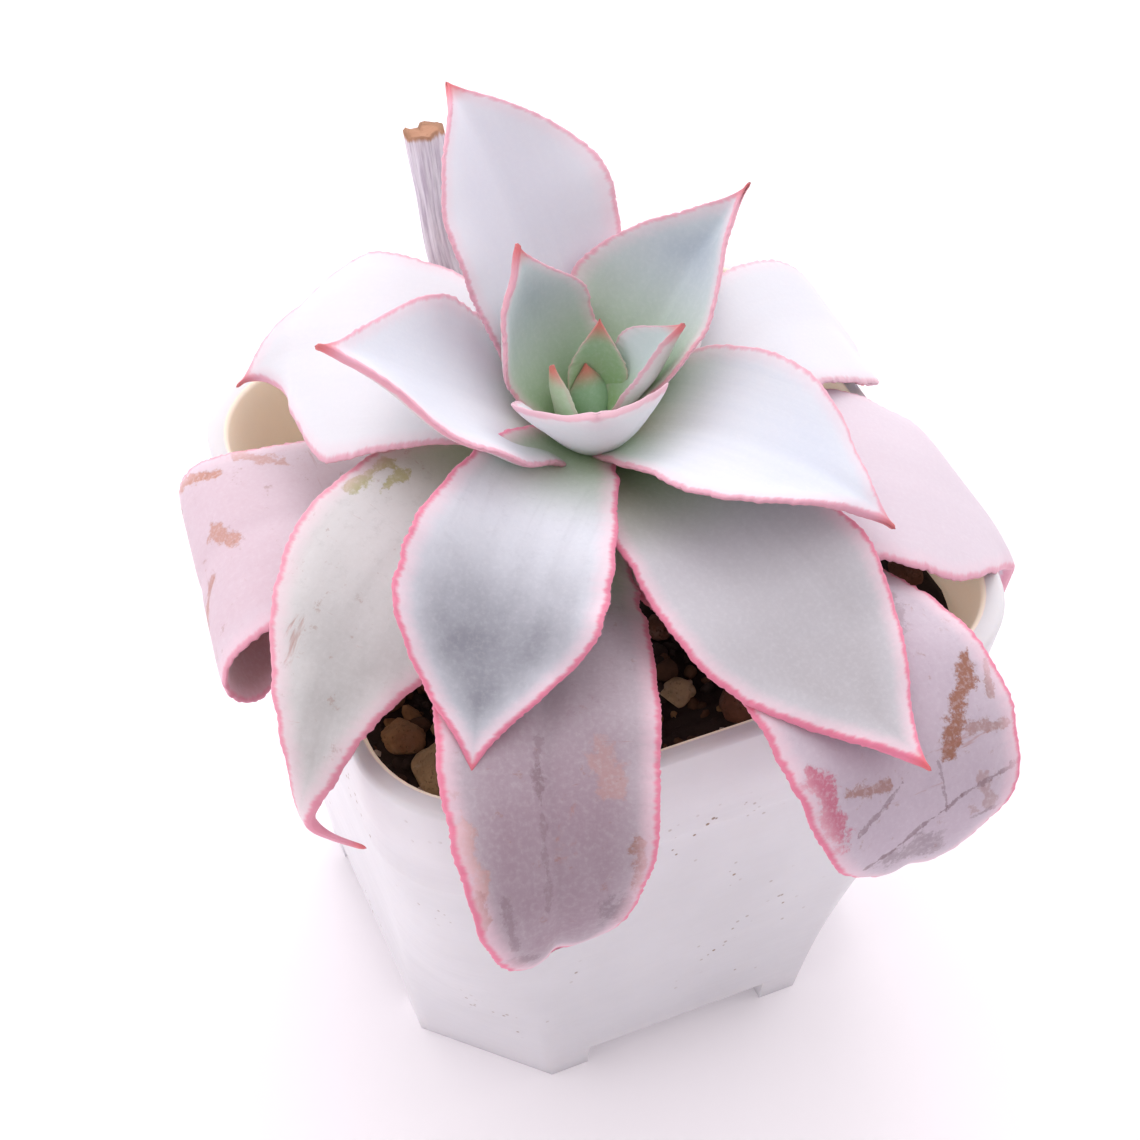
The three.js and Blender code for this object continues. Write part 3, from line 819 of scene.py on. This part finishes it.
# Each leaf grows along a curved midrib. Angles are degrees, lengths millimetres.
# heading, sway: the way it leaves the stem, and how far that turns by the tip
# root, inset: height of the root above the rim, and its distance from the axis
# length: along the midrib, or over: the part of it past the pot's half width
# rise, middle, droop: slope of the midrib at root, half way and tip
# widest, neck, point: where it is widest, its width at the root, how drawn-out its tip is
# hook: where the end starts to curl, and how far it then bends down and turns by the tip
# roll, cup: twist and hollow at root and tip
LEAVES = {
    "heart_leaf_1": dict(
        heading=-87.8, sway=0, root=16.5, inset=0.6, length=9.4, width=7, widest=0.4, neck=0.6,
        point=1.2, rise=105, middle=121, droop=123, roll=(0, 0), cup=(0.5, 0.4), thickness=2),
    "heart_leaf_2": dict(
        heading=179, sway=0, root=16, inset=4.6, length=14, width=7, widest=0.4, neck=0.6,
        point=1.2, rise=78, middle=79.4, droop=83.7, roll=(0, 0), cup=(0.5, 0.4), thickness=2),
    "heart_leaf_3": dict(
        heading=64.1, sway=0, root=15.5, inset=3, length=15.8, width=9.5, widest=0.45,
        neck=0.55, point=1.3, rise=76, middle=79.7, droop=83.3, roll=(0, 0), cup=(0.6, 0.5),
        thickness=2),
    "inner_leaf_1": dict(
        heading=-115.3, sway=2.2, root=16, inset=4.8, length=21.1, width=23.5, widest=0.69,
        neck=0.5, point=1.1, rise=45, middle=51.3, droop=86.4, roll=(4, 8.9), cup=(0.6, 0.5),
        thickness=2.6),
    "inner_leaf_2": dict(
        heading=-13.8, sway=-3, root=18, inset=2.5, length=18.7, width=11.5, widest=0.5,
        neck=0.4, point=1.5, rise=47, middle=62, droop=57.6, roll=(-1, -7), cup=(0.7, 0.8),
        thickness=2.2),
    "inner_leaf_3": dict(
        heading=122, sway=1, root=14, inset=3, length=32, width=20.5, widest=0.54, neck=0.4,
        point=1.6, rise=41, middle=71, droop=92, roll=(-11, -2), cup=(0.52, 0.32), thickness=2.6),
    "middle_leaf_1": dict(
        heading=31, sway=-15, root=15, inset=2.5, length=40.5, width=27, widest=0.44, neck=0.36,
        point=1.8, rise=34, middle=45, droop=39, roll=(-7, -2), cup=(0.66, 0.48)),
    "middle_leaf_2": dict(
        heading=171, sway=-1, root=12.5, inset=3, length=45.5, width=32, widest=0.51, neck=0.38,
        point=1.7, rise=27, middle=40, droop=26, roll=(-4, -3), cup=(0.4, 0.24)),
    "middle_leaf_3": dict(
        heading=-45, sway=-12, root=13, inset=2, length=47.5, width=32.5, widest=0.44,
        neck=0.38, point=1.65, rise=38, middle=4, droop=-23, roll=(2, -4), cup=(0.44, 0.08)),
    "middle_leaf_4": dict(
        heading=93, sway=16, root=10.5, inset=3, length=56, width=30.5, widest=0.64, neck=0.38,
        point=1.35, rise=44, middle=52, droop=39, roll=(4, 8), cup=(0.38, 0.36)),
    "middle_leaf_5": dict(
        heading=-138, sway=21, root=14, inset=4.5, length=63.2, width=29, widest=0.61,
        neck=0.32, point=1.72, rise=32, middle=-6, droop=-26, roll=(-10, -7.3), cup=(0.42, 0.14)),
    "middle_leaf_6": dict(
        heading=-77, sway=3, root=11, inset=3, over=20, width=34.5, widest=0.52, neck=0.38,
        point=1.45, rise=23, middle=-10, droop=-1, roll=(-4, 2), cup=(0.44, -0.08)),
    "outer_leaf_1": dict(
        heading=140.2, sway=13.5, root=11, inset=3, length=55.7, width=41, widest=0.65,
        neck=0.34, point=2.16, rise=42, middle=7, droop=-39.8, roll=(13.1, -18.6),
        cup=(0.14, -0.1), hook=(0.82, 24.1, 49.9)),
    "outer_leaf_2": dict(
        heading=20, sway=-2, root=5.5, inset=3, over=23.3, width=27, widest=0.63, neck=0.38,
        point=1.4, rise=18, middle=-12, droop=-111.8, roll=(-3, 27.3), cup=(0.14, 0.08),
        hook=(0.75, 40.4, 0)),
    "outer_leaf_3": dict(
        heading=-168.9, sway=56.6, root=5, inset=2, over=41.2, width=31.8, widest=0.41,
        neck=0.4, point=2.45, rise=24, middle=-8.3, droop=-83.2, roll=(-24.6, 5), cup=(0.08, 0),
        hook=(0.75, -84.5, -101.5)),
    "outer_leaf_4": dict(
        heading=-27.3, sway=10.6, root=6, inset=3, over=33, width=42.2, widest=0.55, neck=0.38,
        point=2.94, rise=10, middle=-17, droop=-104.4, roll=(-5.2, -9.6), cup=(0.02, -0.1),
        hook=(0.64, -7, 0)),
    "outer_leaf_5": dict(
        heading=62, sway=4, root=6, inset=3, length=53, width=34, widest=0.6, neck=0.38,
        point=1.3, rise=26, middle=16, droop=-20, roll=(0, 0), cup=(0.2, 0.1)),
    "outer_leaf_6": dict(
        heading=-129, sway=30, root=0, inset=3, over=38.5, width=30.5, widest=0.57, neck=0.38,
        point=0.45, rise=5, middle=4, droop=-115, roll=(-2, -15), cup=(0.04, 0.12)),
    "outer_leaf_7": dict(
        heading=-63, sway=-29, root=-4, inset=3.5, over=38, width=37.5, widest=0.66, neck=0.36,
        point=0.6, rise=7, middle=4, droop=-122, roll=(-12, 0), cup=(-0.02, 0.04)),
    "outer_leaf_8": dict(
        heading=172, sway=8, root=-1, inset=4.5, over=25, width=41, widest=0.78, neck=0.38,
        point=0.45, rise=4, middle=8, droop=-88, roll=(8, 6), cup=(0.02, 0),
        hook=(0.66, -105, 0)),
    "outer_leaf_9": dict(
        heading=100, sway=-4, root=-2, inset=4, over=14, width=36, widest=0.6, neck=0.38,
        point=1.3, rise=12, middle=2, droop=-70, roll=(0, 0), cup=(0.1, 0)),
}


def look(blade, dusk, amount=0.6, under=(206, 208, 202), green=0.32, worn=0.0, crease=0.12,
         blush=0.65, patches=()):
    """How one blade looks.

    blade, dusk, amount: colour near its edges, a darker colour inland towards the tip that is partly the
    leaf's own tone and partly painted shade, and how strongly that shows
    under, green, worn: colour underneath, how far the root's green reaches, how worn it is
    crease, blush: depth of the groove along the midrib, and strength of the pink margin
    patches: scars, each (from across, from along, to across, to along, half width, colour,
    strength), in millimetres from the midrib and from the root
    """
    return {"blade": tone(*blade), "dusk": tone(*dusk), "amount": amount, "under": tone(*under),
            "green": green, "worn": worn, "crease": crease, "blush": blush, "patches": patches}


BROWN = (158, 108, 92)
RUST = (198, 146, 134)
UMBER = (136, 110, 120)
OLIVE = (186, 180, 122)
ROSE = (198, 92, 122)
ASH = (138, 118, 128)

# The leaves that droop towards the dim front (middle_leaf_5, middle_leaf_6, outer_leaf_3 and outer_leaf_6)
# get darker blade and dusk colours: partly their own tone, partly painted shade.
LOOKS = {
    "heart_leaf_1": look((164, 192, 160), (140, 176, 138), under=(150, 182, 148), green=0.9, blush=0.1),
    "heart_leaf_2": look((196, 212, 184), (176, 196, 160), under=(178, 200, 164), green=0.6, blush=0.15),
    "heart_leaf_3": look((168, 192, 164), (136, 166, 130), under=(150, 182, 148), green=0.9, blush=0.25),
    "inner_leaf_1": look((226, 228, 236), (214, 220, 228), under=(226, 228, 232), blush=0.5),
    "inner_leaf_2": look((212, 222, 226), (200, 214, 212), green=0.5, blush=0.5),
    "inner_leaf_3": look((216, 224, 226), (168, 184, 190), 0.8, green=0.7, blush=0.6),
    "middle_leaf_1": look((216, 224, 228), (164, 176, 190), 0.9, green=0.6, crease=0.6),
    "middle_leaf_2": look((232, 233, 242), (214, 218, 232)),
    "middle_leaf_3": look((232, 233, 242), (206, 212, 230), crease=0.3),
    "middle_leaf_4": look((234, 232, 242), (224, 222, 236), crease=0.3),
    # Painted shade, partly: the very dark dusk colour of middle_leaf_5's lower, outer part.
    "middle_leaf_5": look((228, 228, 238), (124, 122, 134), 0.95, blush=1.0, crease=0.2),
    "middle_leaf_6": look((206, 202, 210), (178, 172, 178), 0.9, blush=1.0),
    "outer_leaf_1": look((236, 232, 240), (226, 226, 232), under=(214, 208, 190), blush=0.6),
    "outer_leaf_2": look((230, 228, 236), (224, 224, 234), under=(186, 182, 190), blush=0.45),
    "outer_leaf_3": look(
        (236, 232, 234), (170, 166, 166), 1.0, under=(150, 148, 134), worn=0.1, blush=0.8,
        patches=((-12.6, 28, -13.2, 34, 1.2, OLIVE, 0.8), (-10, 27, -10, 32, 0.8, OLIVE, 0.8))),
    "outer_leaf_4": look((226, 210, 222), (208, 194, 206), under=(176, 174, 184), blush=0.6),
    "outer_leaf_5": look((244, 242, 246), (240, 238, 244), blush=0.15),
    "outer_leaf_6": look(
        (196, 184, 194), (158, 132, 146), 0.9, under=(170, 158, 150), worn=0.25, crease=0.9,
        blush=1.0, patches=(
            (-1.3, 54, -1.8, 76, 0.5, UMBER, 0.4), (-1.3, 58, -1.5, 61, 0.9, UMBER, 0.5),
            (7, 56, 8.5, 61, 2.6, RUST, 0.4), (10.8, 69, 11, 77, 1.2, BROWN, 0.7),
            (6, 78.5, 9, 80, 2.8, ASH, 0.65), (-12.4, 64, -11.6, 72, 1.5, RUST, 0.55),
            (-11.8, 72, -11.2, 75, 0.9, BROWN, 0.85), (-8, 73, -7, 80, 0.9, UMBER, 0.45),
            (-9, 83, -4, 84, 1.2, UMBER, 0.5))),
    "outer_leaf_7": look(
        (216, 202, 214), (190, 172, 188), 0.8, under=(190, 170, 176), worn=0.5, crease=0.4,
        blush=1.0, patches=(
            (5.2, 67, 14.5, 57.5, 1.5, BROWN, 1.0), (15, 63, 17.6, 58.5, 0.5, BROWN, 0.6),
            (9.5, 65.5, 16, 67, 0.9, BROWN, 0.6), (9.5, 72, 10.6, 76.5, 1.1, BROWN, 0.4),
            (-11.5, 67, -4.8, 68, 1.1, BROWN, 0.7), (-15, 63, -13.4, 73, 2.0, ROSE, 0.8),
            (-5, 80, 3, 80.5, 2.6, ASH, 0.55), (-9, 80, 6, 73.5, 0.3, UMBER, 0.7),
            (6, 73.5, 16, 72, 0.25, UMBER, 0.6), (-10.5, 73, -1.5, 67.5, 0.3, UMBER, 0.6),
            (3.5, 68, 3.6, 75, 0.25, UMBER, 0.5), (7.5, 78, 13, 77, 0.25, UMBER, 0.5),
            (9, 50, 13, 44, 1.0, UMBER, 0.35))),
    "outer_leaf_8": look(
        (224, 206, 218), (210, 182, 194), 0.8, under=(190, 150, 150), worn=0.4, crease=0.3,
        blush=0.7, patches=(
            (-18.5, 58, -15, 50, 1.2, RUST, 1.0), (-18, 46, -13, 41, 1.4, RUST, 0.7),
            (-4, 53, 1, 51, 1.5, RUST, 0.9), (-16, 61, -10, 64, 1.2, BROWN, 0.7),
            (4, 56, 8, 60, 0.8, RUST, 0.7))),
    "outer_leaf_9": look((236, 232, 238), (226, 222, 230), blush=0.3),
}

STEP_LENGTH = 0.33
LEAST_STEPS = 70
TIP_LENGTH = 4
AROUND = 64
# share of a blade's length over which its very end rounds off
ROUND_END = 0.015
# how far in from a margin its teeth reach, and half the width of the midrib's groove
TEETH_REACH = 0.9
GROOVE_HALF = 1.7
# slow waves of the outline, the margins and the whole blade: length and height of each
OUTLINE_WAVE = (7, 0.13)
MARGIN_WAVE = (18, 0.45)
BLADE_WAVE = (30, 0.3)


def blade_width(leaf, share):
    """Width of the blade as a share of its greatest."""
    widest = leaf["widest"]
    near = lerp(leaf["neck"], 1, np.sin(np.pi / 2 * np.minimum(share / widest, 1)))
    out = np.clip((share - widest) / (1 - widest), 0, 1)
    far = (1 - out) ** leaf["point"] * (1 + leaf["point"] * out)
    return np.where(share < widest, near, far)


def midrib(leaf, share):
    """Centre, sideways and outward directions at each share of the length."""
    heading = math.radians(leaf["heading"])
    hook_start, hook_bend, hook_turn = leaf.get("hook", (1, 0, 0))

    def direction(s):
        curl = np.maximum(s - hook_start, 0) / max(1 - hook_start, 1e-9)
        slope = np.radians(leaf["rise"] * (1 - s) * (1 - 2 * s)
                           + leaf["middle"] * 4 * s * (1 - s) + leaf["droop"] * s * (2 * s - 1)
                           + hook_bend * curl)
        turn = heading + np.radians(leaf["sway"] * s + hook_turn * curl)
        along = np.stack([np.cos(slope) * np.cos(turn), np.cos(slope) * np.sin(turn), np.sin(slope)], 1)
        across = np.stack([-np.sin(turn), np.cos(turn), np.zeros_like(turn)], 1)
        return along, across

    along, across = direction(share)
    middles = (share[1:] + share[:-1]) / 2
    strides = direction(middles)[0] * np.diff(share)[:, None] * blade_length(leaf)
    start = np.array([math.cos(heading) * leaf["inset"], math.sin(heading) * leaf["inset"],
                      POT_HEIGHT + leaf["root"]])
    centre = np.vstack([start, start + np.cumsum(strides, axis=0)])
    normal = np.cross(along, across)
    roll = np.radians(lerp(leaf["roll"][0], leaf["roll"][1], share))[:, None]
    rolled_across = across * np.cos(roll) + normal * np.sin(roll)
    rolled_normal = normal * np.cos(roll) - across * np.sin(roll)
    return centre, rolled_across, rolled_normal


def blade_length(leaf):
    return leaf["length"] if "length" in leaf else POT_HALF + leaf["over"]


def leaf_piece(name, leaf, crease, settings, seed):
    """A fleshy blade with a bead along its finely toothed margins and a drawn-out tip."""
    length = blade_length(leaf)
    steps = max(LEAST_STEPS, round(length / STEP_LENGTH))
    share = np.linspace(0, 1, steps + 1)
    centre, across, normal = midrib(leaf, share)
    thick = leaf.get("thickness", settings.thickness / MM)
    teeth = settings.crinkle / MM
    end = np.sqrt(np.maximum(1 - (np.maximum(share - 1 + ROUND_END, 0) / ROUND_END) ** 2, 0.01))
    half = np.maximum(leaf["width"] * blade_width(leaf, share), 0.4) / 2 * end
    depth = thick * (1 - 0.6 * share ** 1.5) * end
    cup = lerp(leaf["cup"][0], leaf["cup"][1], share)
    reach = half / np.sqrt(1 + 0.5 * cup * cup)
    run = share * length
    turn = np.linspace(0, 2 * np.pi, AROUND, endpoint=False)
    side = np.cos(turn)[None, :]
    face = np.sin(turn)[None, :]

    def both(period, first):
        """Two unlike waves, one for each margin."""
        return np.where(side > 0, wobble(run, period, first)[:, None],
                        wobble(run, period, first + 1)[:, None])

    shore = 1 - np.abs(side)
    rim = np.exp(-(shore * half[:, None] / TEETH_REACH) ** 2)
    calm = smoothstep(run, 3, 10)[:, None] * smoothstep(half, 0.6, 4)[:, None]
    jagged = both(1.0, seed) * (0.5 + 0.5 * smoothstep(both(14, seed + 2), -0.5, 0.6))
    period, height = OUTLINE_WAVE
    x = side * (reach[:, None] + calm * (rim * jagged * teeth + height * both(period, seed + 4)))
    mid = half[:, None] * cup[:, None] * side ** 2
    period, height = MARGIN_WAVE
    ripple = rim * both(1.6, seed + 6) * teeth * 0.8
    mid = mid + calm * (ripple + side ** 2 * both(period, seed + 8) * height)
    period, height = BLADE_WAVE
    mid = mid + height * wobble(run, period, seed + 10)[:, None] * calm
    groove = crease * np.exp(-(side * half[:, None] / GROOVE_HALF) ** 2)
    body = depth[:, None] / 2 * (1 - np.abs(side) ** 2.6) ** 0.75
    bead = np.minimum(min(0.4, 0.02 * leaf["width"]), half[:, None] * 0.5)
    bead = bead * np.sqrt(np.maximum(1 - side ** 10, 0))
    thin = 1 - body / (depth[:, None] / 2)
    z = mid + np.sign(face) * (body + bead * (thin + 0.3))
    z = z - groove * smoothstep(run, 6, 18)[:, None] * (0.3 + 0.7 * (face > 0))
    points = (centre[:, None, :] + across[:, None, :] * x[:, :, None]
              + normal[:, None, :] * z[:, :, None])

    piece = new_piece(name, placed(points.reshape(-1, 3)), skin_faces(steps + 1, AROUND))
    grid = np.ones((steps + 1, AROUND))
    edge = np.minimum(shore * half[:, None], (length - run)[:, None] * grid)
    flat = np.stack([side * half[:, None], run[:, None] * grid, 0 * grid], axis=2)
    store(piece, "share", (share[:, None] * grid).ravel())
    store(piece, "margin", (edge * MM).ravel())
    store(piece, "face", ((face > 0) * grid).ravel())
    store(piece, "blade", (flat * MM).reshape(-1, 3))
    return piece


def leaf_finish(name, leaf, skin, settings, seed):
    """Powdery skin: green at the root, a darker inland tone that is partly painted shade, pink margin, red
    tip, and scars on old leaves.
    """
    finish = Finish(name)
    spot = finish.point("blade")
    blade = finish.stretch(spot, (1, 1, 1), (seed * 0.37, seed * 0.71, 0))
    share = finish.value("share")
    margin = finish.value("margin")
    face = finish.value("face")

    clouds = finish.noise(blade, 70, 4, 0.55)
    veins = finish.noise(finish.stretch(blade, (380, 24, 1)), 1.0, 3, 0.5)
    powder = finish.noise(blade, 1300, 4, 0.65)
    # Painted shade, partly: the dusk colour is laid inland and towards the tip, darkening the lower, outer
    # part of each blade; it also stands for the leaf's own mottled tone.
    inland = finish.times(finish.between(margin, 0.0, 0.008, 0.3, 1.0),
                         finish.between(share, 0.28, 0.78))
    mottling_and_painted_shade = finish.times(inland, finish.between(clouds, 0.25, 0.65, 0.7, 1.0))
    finish.colour = finish.mix(finish.times(mottling_and_painted_shade, skin["amount"]), skin["blade"], skin["dusk"])
    finish.paint(finish.between(veins, 0.45, 0.85, 0.0, 0.22), skin["dusk"])
    green = finish.between(share, 0.02, skin["green"] + 0.08, 1.0, 0.0)
    finish.paint(finish.times(green, 0.9), settings.root_colour)
    finish.paint(finish.between(face, 0.4, 0.6, 0.85, 0.0), skin["under"])
    finish.paint(finish.between(powder, 0.4, 0.8, 0.0, 0.12), tone(250, 248, 252))
    grime = finish.noise(blade, 480, 6, 0.8)
    finish.paint(finish.between(grime, 0.5, 0.72, 0.0, 0.12 + skin["worn"]), skin["dusk"])

    bare = None
    fray = finish.noise(blade, 260, 6, 0.75)
    for from_across, from_along, to_across, to_along, half_width, hue, strength in skin["patches"]:
        patch = finish.stroke(spot, (from_across, from_along), (to_across, to_along), half_width, fray)
        patch = finish.times(patch, strength)
        shade = finish.mix(finish.between(powder, 0.45, 0.75, 0.0, 0.5), tone(*hue), skin["blade"])
        finish.paint(patch, shade)
        bare = patch if bare is None else finish.math("MAXIMUM", bare, patch)
    if skin["worn"] > 0:
        patch = finish.noise(finish.stretch(blade, (110, 60, 1)), 1.0, 6, 0.66, 0.8)
        level = 0.7 - 0.16 * skin["worn"]
        rubbed = finish.between(patch, level, level + 0.06)
        scratch = finish.noise(finish.stretch(blade, (70, 560, 1)), 1.0, 4, 0.62, 1.5)
        scratch = finish.between(scratch, 0.68 - 0.05 * skin["worn"], 0.76)
        rubbed = finish.math("MAXIMUM", rubbed, finish.times(scratch, 0.8))
        fleck = finish.between(finish.noise(blade, 330, 5, 0.75), 0.6, 0.68)
        finish.paint(finish.times(fleck, 0.35), tone(*BROWN))
        finish.paint(finish.times(rubbed, 0.6), settings.scar_colour)
        bare = rubbed if bare is None else finish.math("MAXIMUM", bare, rubbed)

    fringe = finish.noise(finish.stretch(blade, (240, 1100, 1)), 1.0, 3, 0.6)
    band = settings.margin_width * min(1.0, leaf["width"] / 30)
    reach = finish.math("ADD", margin, finish.times(fringe, -1.3 * band))
    glow = finish.between(reach, 0.0, band * 3.2, 0.6 * skin["blush"], 0.0)
    finish.paint(glow, tone(248, 208, 222))
    pink = finish.between(reach, -band * 0.25, band * 0.6, skin["blush"], 0.0)
    finish.paint(pink, settings.margin_colour)
    if leaf["point"] > 1.15:
        tip = finish.between(share, 1 - TIP_LENGTH / blade_length(leaf), 1.0)
        finish.paint(finish.times(tip, 0.8), settings.tip_colour)
    finish.set(
        Base_Color=finish.colour,
        Roughness=0.6,
        Specular_IOR_Level=0.3,
        Sheen_Weight=0.12,
        Sheen_Roughness=0.5,
        Subsurface_Weight=0.2,
        Subsurface_Radius=(0.0035, 0.0028, 0.0026),
        Subsurface_Scale=1.0,
    )
    relief = finish.math("ADD", finish.times(powder, 0.3), veins)
    if bare is not None:
        relief = finish.math("SUBTRACT", relief, finish.times(bare, 0.8))
    finish.bump(relief, 0.00014, 0.5)
    return finish.material


class LeafStep:
    """Builds every leaf whose name starts with kind."""

    kind = ""
    slot = ""

    def execute(self, context):
        settings = context.scene.succulent_leaf
        for number, (node, leaf) in enumerate(LEAVES.items()):
            if not node.startswith(self.kind):
                continue
            seed = 10 * number + 7
            skin = LOOKS[node]
            piece = leaf_piece(node.replace("leaf", "blade"), leaf, skin["crease"], settings, seed)
            finish = leaf_finish(node + "_skin", leaf, skin, settings, number)
            settle(piece, node, finish)
        return {"FINISHED"}


class SUCCULENT_OT_heart_leaves(LeafStep, Operator):
    """Build the small buds in the middle of the rosette"""

    bl_idname = "succulent.heart_leaves"
    bl_label = "Heart Leaves"
    kind = "heart"
    slot = "young_leaf"


class SUCCULENT_OT_inner_leaves(LeafStep, Operator):
    """Build the young leaves around the buds"""

    bl_idname = "succulent.inner_leaves"
    bl_label = "Inner Leaves"
    kind = "inner"
    slot = "young_leaf"


class SUCCULENT_OT_middle_leaves(LeafStep, Operator):
    """Build the full leaves of the rosette"""

    bl_idname = "succulent.middle_leaves"
    bl_label = "Middle Leaves"
    kind = "middle"
    slot = "leaf"


class SUCCULENT_OT_outer_leaves(LeafStep, Operator):
    """Build the old leaves that hang over the rim"""

    bl_idname = "succulent.outer_leaves"
    bl_label = "Outer Leaves"
    kind = "outer"
    slot = "old_leaf"


# ---- stage ---------------------------------------------------------------------------------------

AIM = Vector((6.66, 22.63, 50)) * MM
LENS = 71.7
SENSOR = 36.0
FRONT = (-0.38, -0.92, 0.0)
BACK_LIGHT = 1.35
FRONT_LIGHT = 0.38
FLOOR_HALF = 3.0


def area_light(name, place, aim, size, power, colour):
    lamp = bpy.data.lights.new(name, "AREA")
    lamp.shape = "SQUARE"
    lamp.size = size
    lamp.energy = power
    lamp.color = colour
    holder = bpy.data.objects.new(name, lamp)
    bpy.context.scene.collection.objects.link(holder)
    holder.location = place
    holder.rotation_euler = (aim - Vector(place)).to_track_quat("-Z", "Y").to_euler()


def white_room():
    """A pale room, less bright on the side that the camera stands on."""
    world = bpy.data.worlds.new("soft_white_room")
    world.use_nodes = True
    tree = world.node_tree
    background = tree.nodes["Background"]
    background.inputs["Color"].default_value = (1.0, 0.985, 0.995, 1)
    place = tree.nodes.new("ShaderNodeTexCoord")
    towards = tree.nodes.new("ShaderNodeVectorMath")
    towards.operation = "DOT_PRODUCT"
    towards.inputs[1].default_value = FRONT
    tree.links.new(place.outputs["Generated"], towards.inputs[0])
    fade = tree.nodes.new("ShaderNodeMapRange")
    fade.interpolation_type = "SMOOTHSTEP"
    for socket, given in zip(list(fade.inputs)[1:], (-0.3, 0.75, BACK_LIGHT, FRONT_LIGHT)):
        socket.default_value = given
    tree.links.new(towards.outputs["Value"], fade.inputs[0])
    tree.links.new(fade.outputs[0], background.inputs["Strength"])
    return world


def floor_finish(settings):
    """Plain matt backdrop paper with a barely visible tooth."""
    finish = Finish("backdrop_paper")
    place = finish.point()
    tooth = finish.noise(place, 900, 3)
    base = settings.floor_colour
    shade = tuple(c * 0.985 for c in base)
    finish.set(
        Base_Color=finish.mix(finish.between(tooth, 0.4, 0.6), base, shade),
        Roughness=0.9,
        Specular_IOR_Level=0.1,
        Emission_Color=tone(255, 252, 254),
        Emission_Strength=0.12,
    )
    return finish.material


class SUCCULENT_OT_stage(Operator):
    """Build the floor, the soft light and the camera"""

    bl_idname = "succulent.stage"
    bl_label = "Stage"

    def execute(self, context):
        settings = context.scene.succulent_stage
        corners = [(x * FLOOR_HALF, y * FLOOR_HALF, 0) for x, y in ((-1, -1), (1, -1), (1, 1), (-1, 1))]
        floor = new_piece("backdrop_floor", corners, [(0, 1, 2, 3)], smooth=False)
        floor.data.materials.append(floor_finish(settings))
        aim = AIM + POT_CENTRE
        power = settings.light_power
        area_light("back_softbox", (0.2, 0.8, 1.0), aim, 0.9, power, (1, 0.99, 1))
        area_light("left_softbox", (-1.0, -0.1, 0.6), aim, 0.8, power * 0.5, (1, 0.98, 0.99))
        context.scene.world = white_room()
        context.scene.view_settings.view_transform = "Standard"
        context.scene.view_settings.look = "None"
        self.camera(context, settings, aim)
        return {"FINISHED"}

    def camera(self, context, settings, aim):
        ahead = Vector((
            math.cos(settings.elevation) * math.sin(settings.azimuth),
            math.cos(settings.elevation) * math.cos(settings.azimuth),
            -math.sin(settings.elevation)))
        lens = bpy.data.cameras.new("camera")
        lens.lens = LENS
        lens.sensor_width = SENSOR
        lens.clip_start = 0.01
        camera = bpy.data.objects.new("camera", lens)
        context.scene.collection.objects.link(camera)
        facing = ahead.to_track_quat("-Z", "Y").to_matrix()
        tilt = Matrix.Rotation(settings.roll, 3, "Z")
        camera.matrix_world = (Matrix.Translation(aim - ahead * settings.distance)
                               @ (facing @ tilt).to_4x4())
        context.scene.camera = camera


# ---- add-on --------------------------------------------------------------------------------------

class SUCCULENT_PT_panel(Panel):
    """Lists the steps that build the potted succulent."""

    bl_label = "Potted Succulent"
    bl_idname = "SUCCULENT_PT_panel"
    bl_space_type = "VIEW_3D"
    bl_region_type = "UI"
    bl_category = "Succulent"

    def draw(self, context):
        for step in STEPS:
            self.layout.operator(step.bl_idname)
        for name, settings in SETTINGS.items():
            box = self.layout.box()
            box.label(text=settings.__doc__)
            for field in settings.__annotations__:
                box.prop(getattr(context.scene, name), field)


SETTINGS = {
    "succulent_pot": PotSettings,
    "succulent_soil": SoilSettings,
    "succulent_leaf": LeafSettings,
    "succulent_stage": StageSettings,
}

STEPS = (
    SUCCULENT_OT_stage,
    SUCCULENT_OT_pot,
    SUCCULENT_OT_soil,
    SUCCULENT_OT_pebbles,
    SUCCULENT_OT_stem,
    SUCCULENT_OT_stalk,
    SUCCULENT_OT_heart_leaves,
    SUCCULENT_OT_inner_leaves,
    SUCCULENT_OT_middle_leaves,
    SUCCULENT_OT_outer_leaves,
)


def register():
    for name, settings in SETTINGS.items():
        bpy.utils.register_class(settings)
        setattr(bpy.types.Scene, name, PointerProperty(type=settings))
    for step in STEPS:
        bpy.utils.register_class(step)
    bpy.utils.register_class(SUCCULENT_PT_panel)


def unregister():
    bpy.utils.unregister_class(SUCCULENT_PT_panel)
    for step in reversed(STEPS):
        bpy.utils.unregister_class(step)
    for name, settings in SETTINGS.items():
        delattr(bpy.types.Scene, name)
        bpy.utils.unregister_class(settings)


def main():
    register()
    for step in STEPS:
        getattr(bpy.ops.succulent, step.bl_idname.split(".")[1])()


if __name__ == "__main__":
    main()
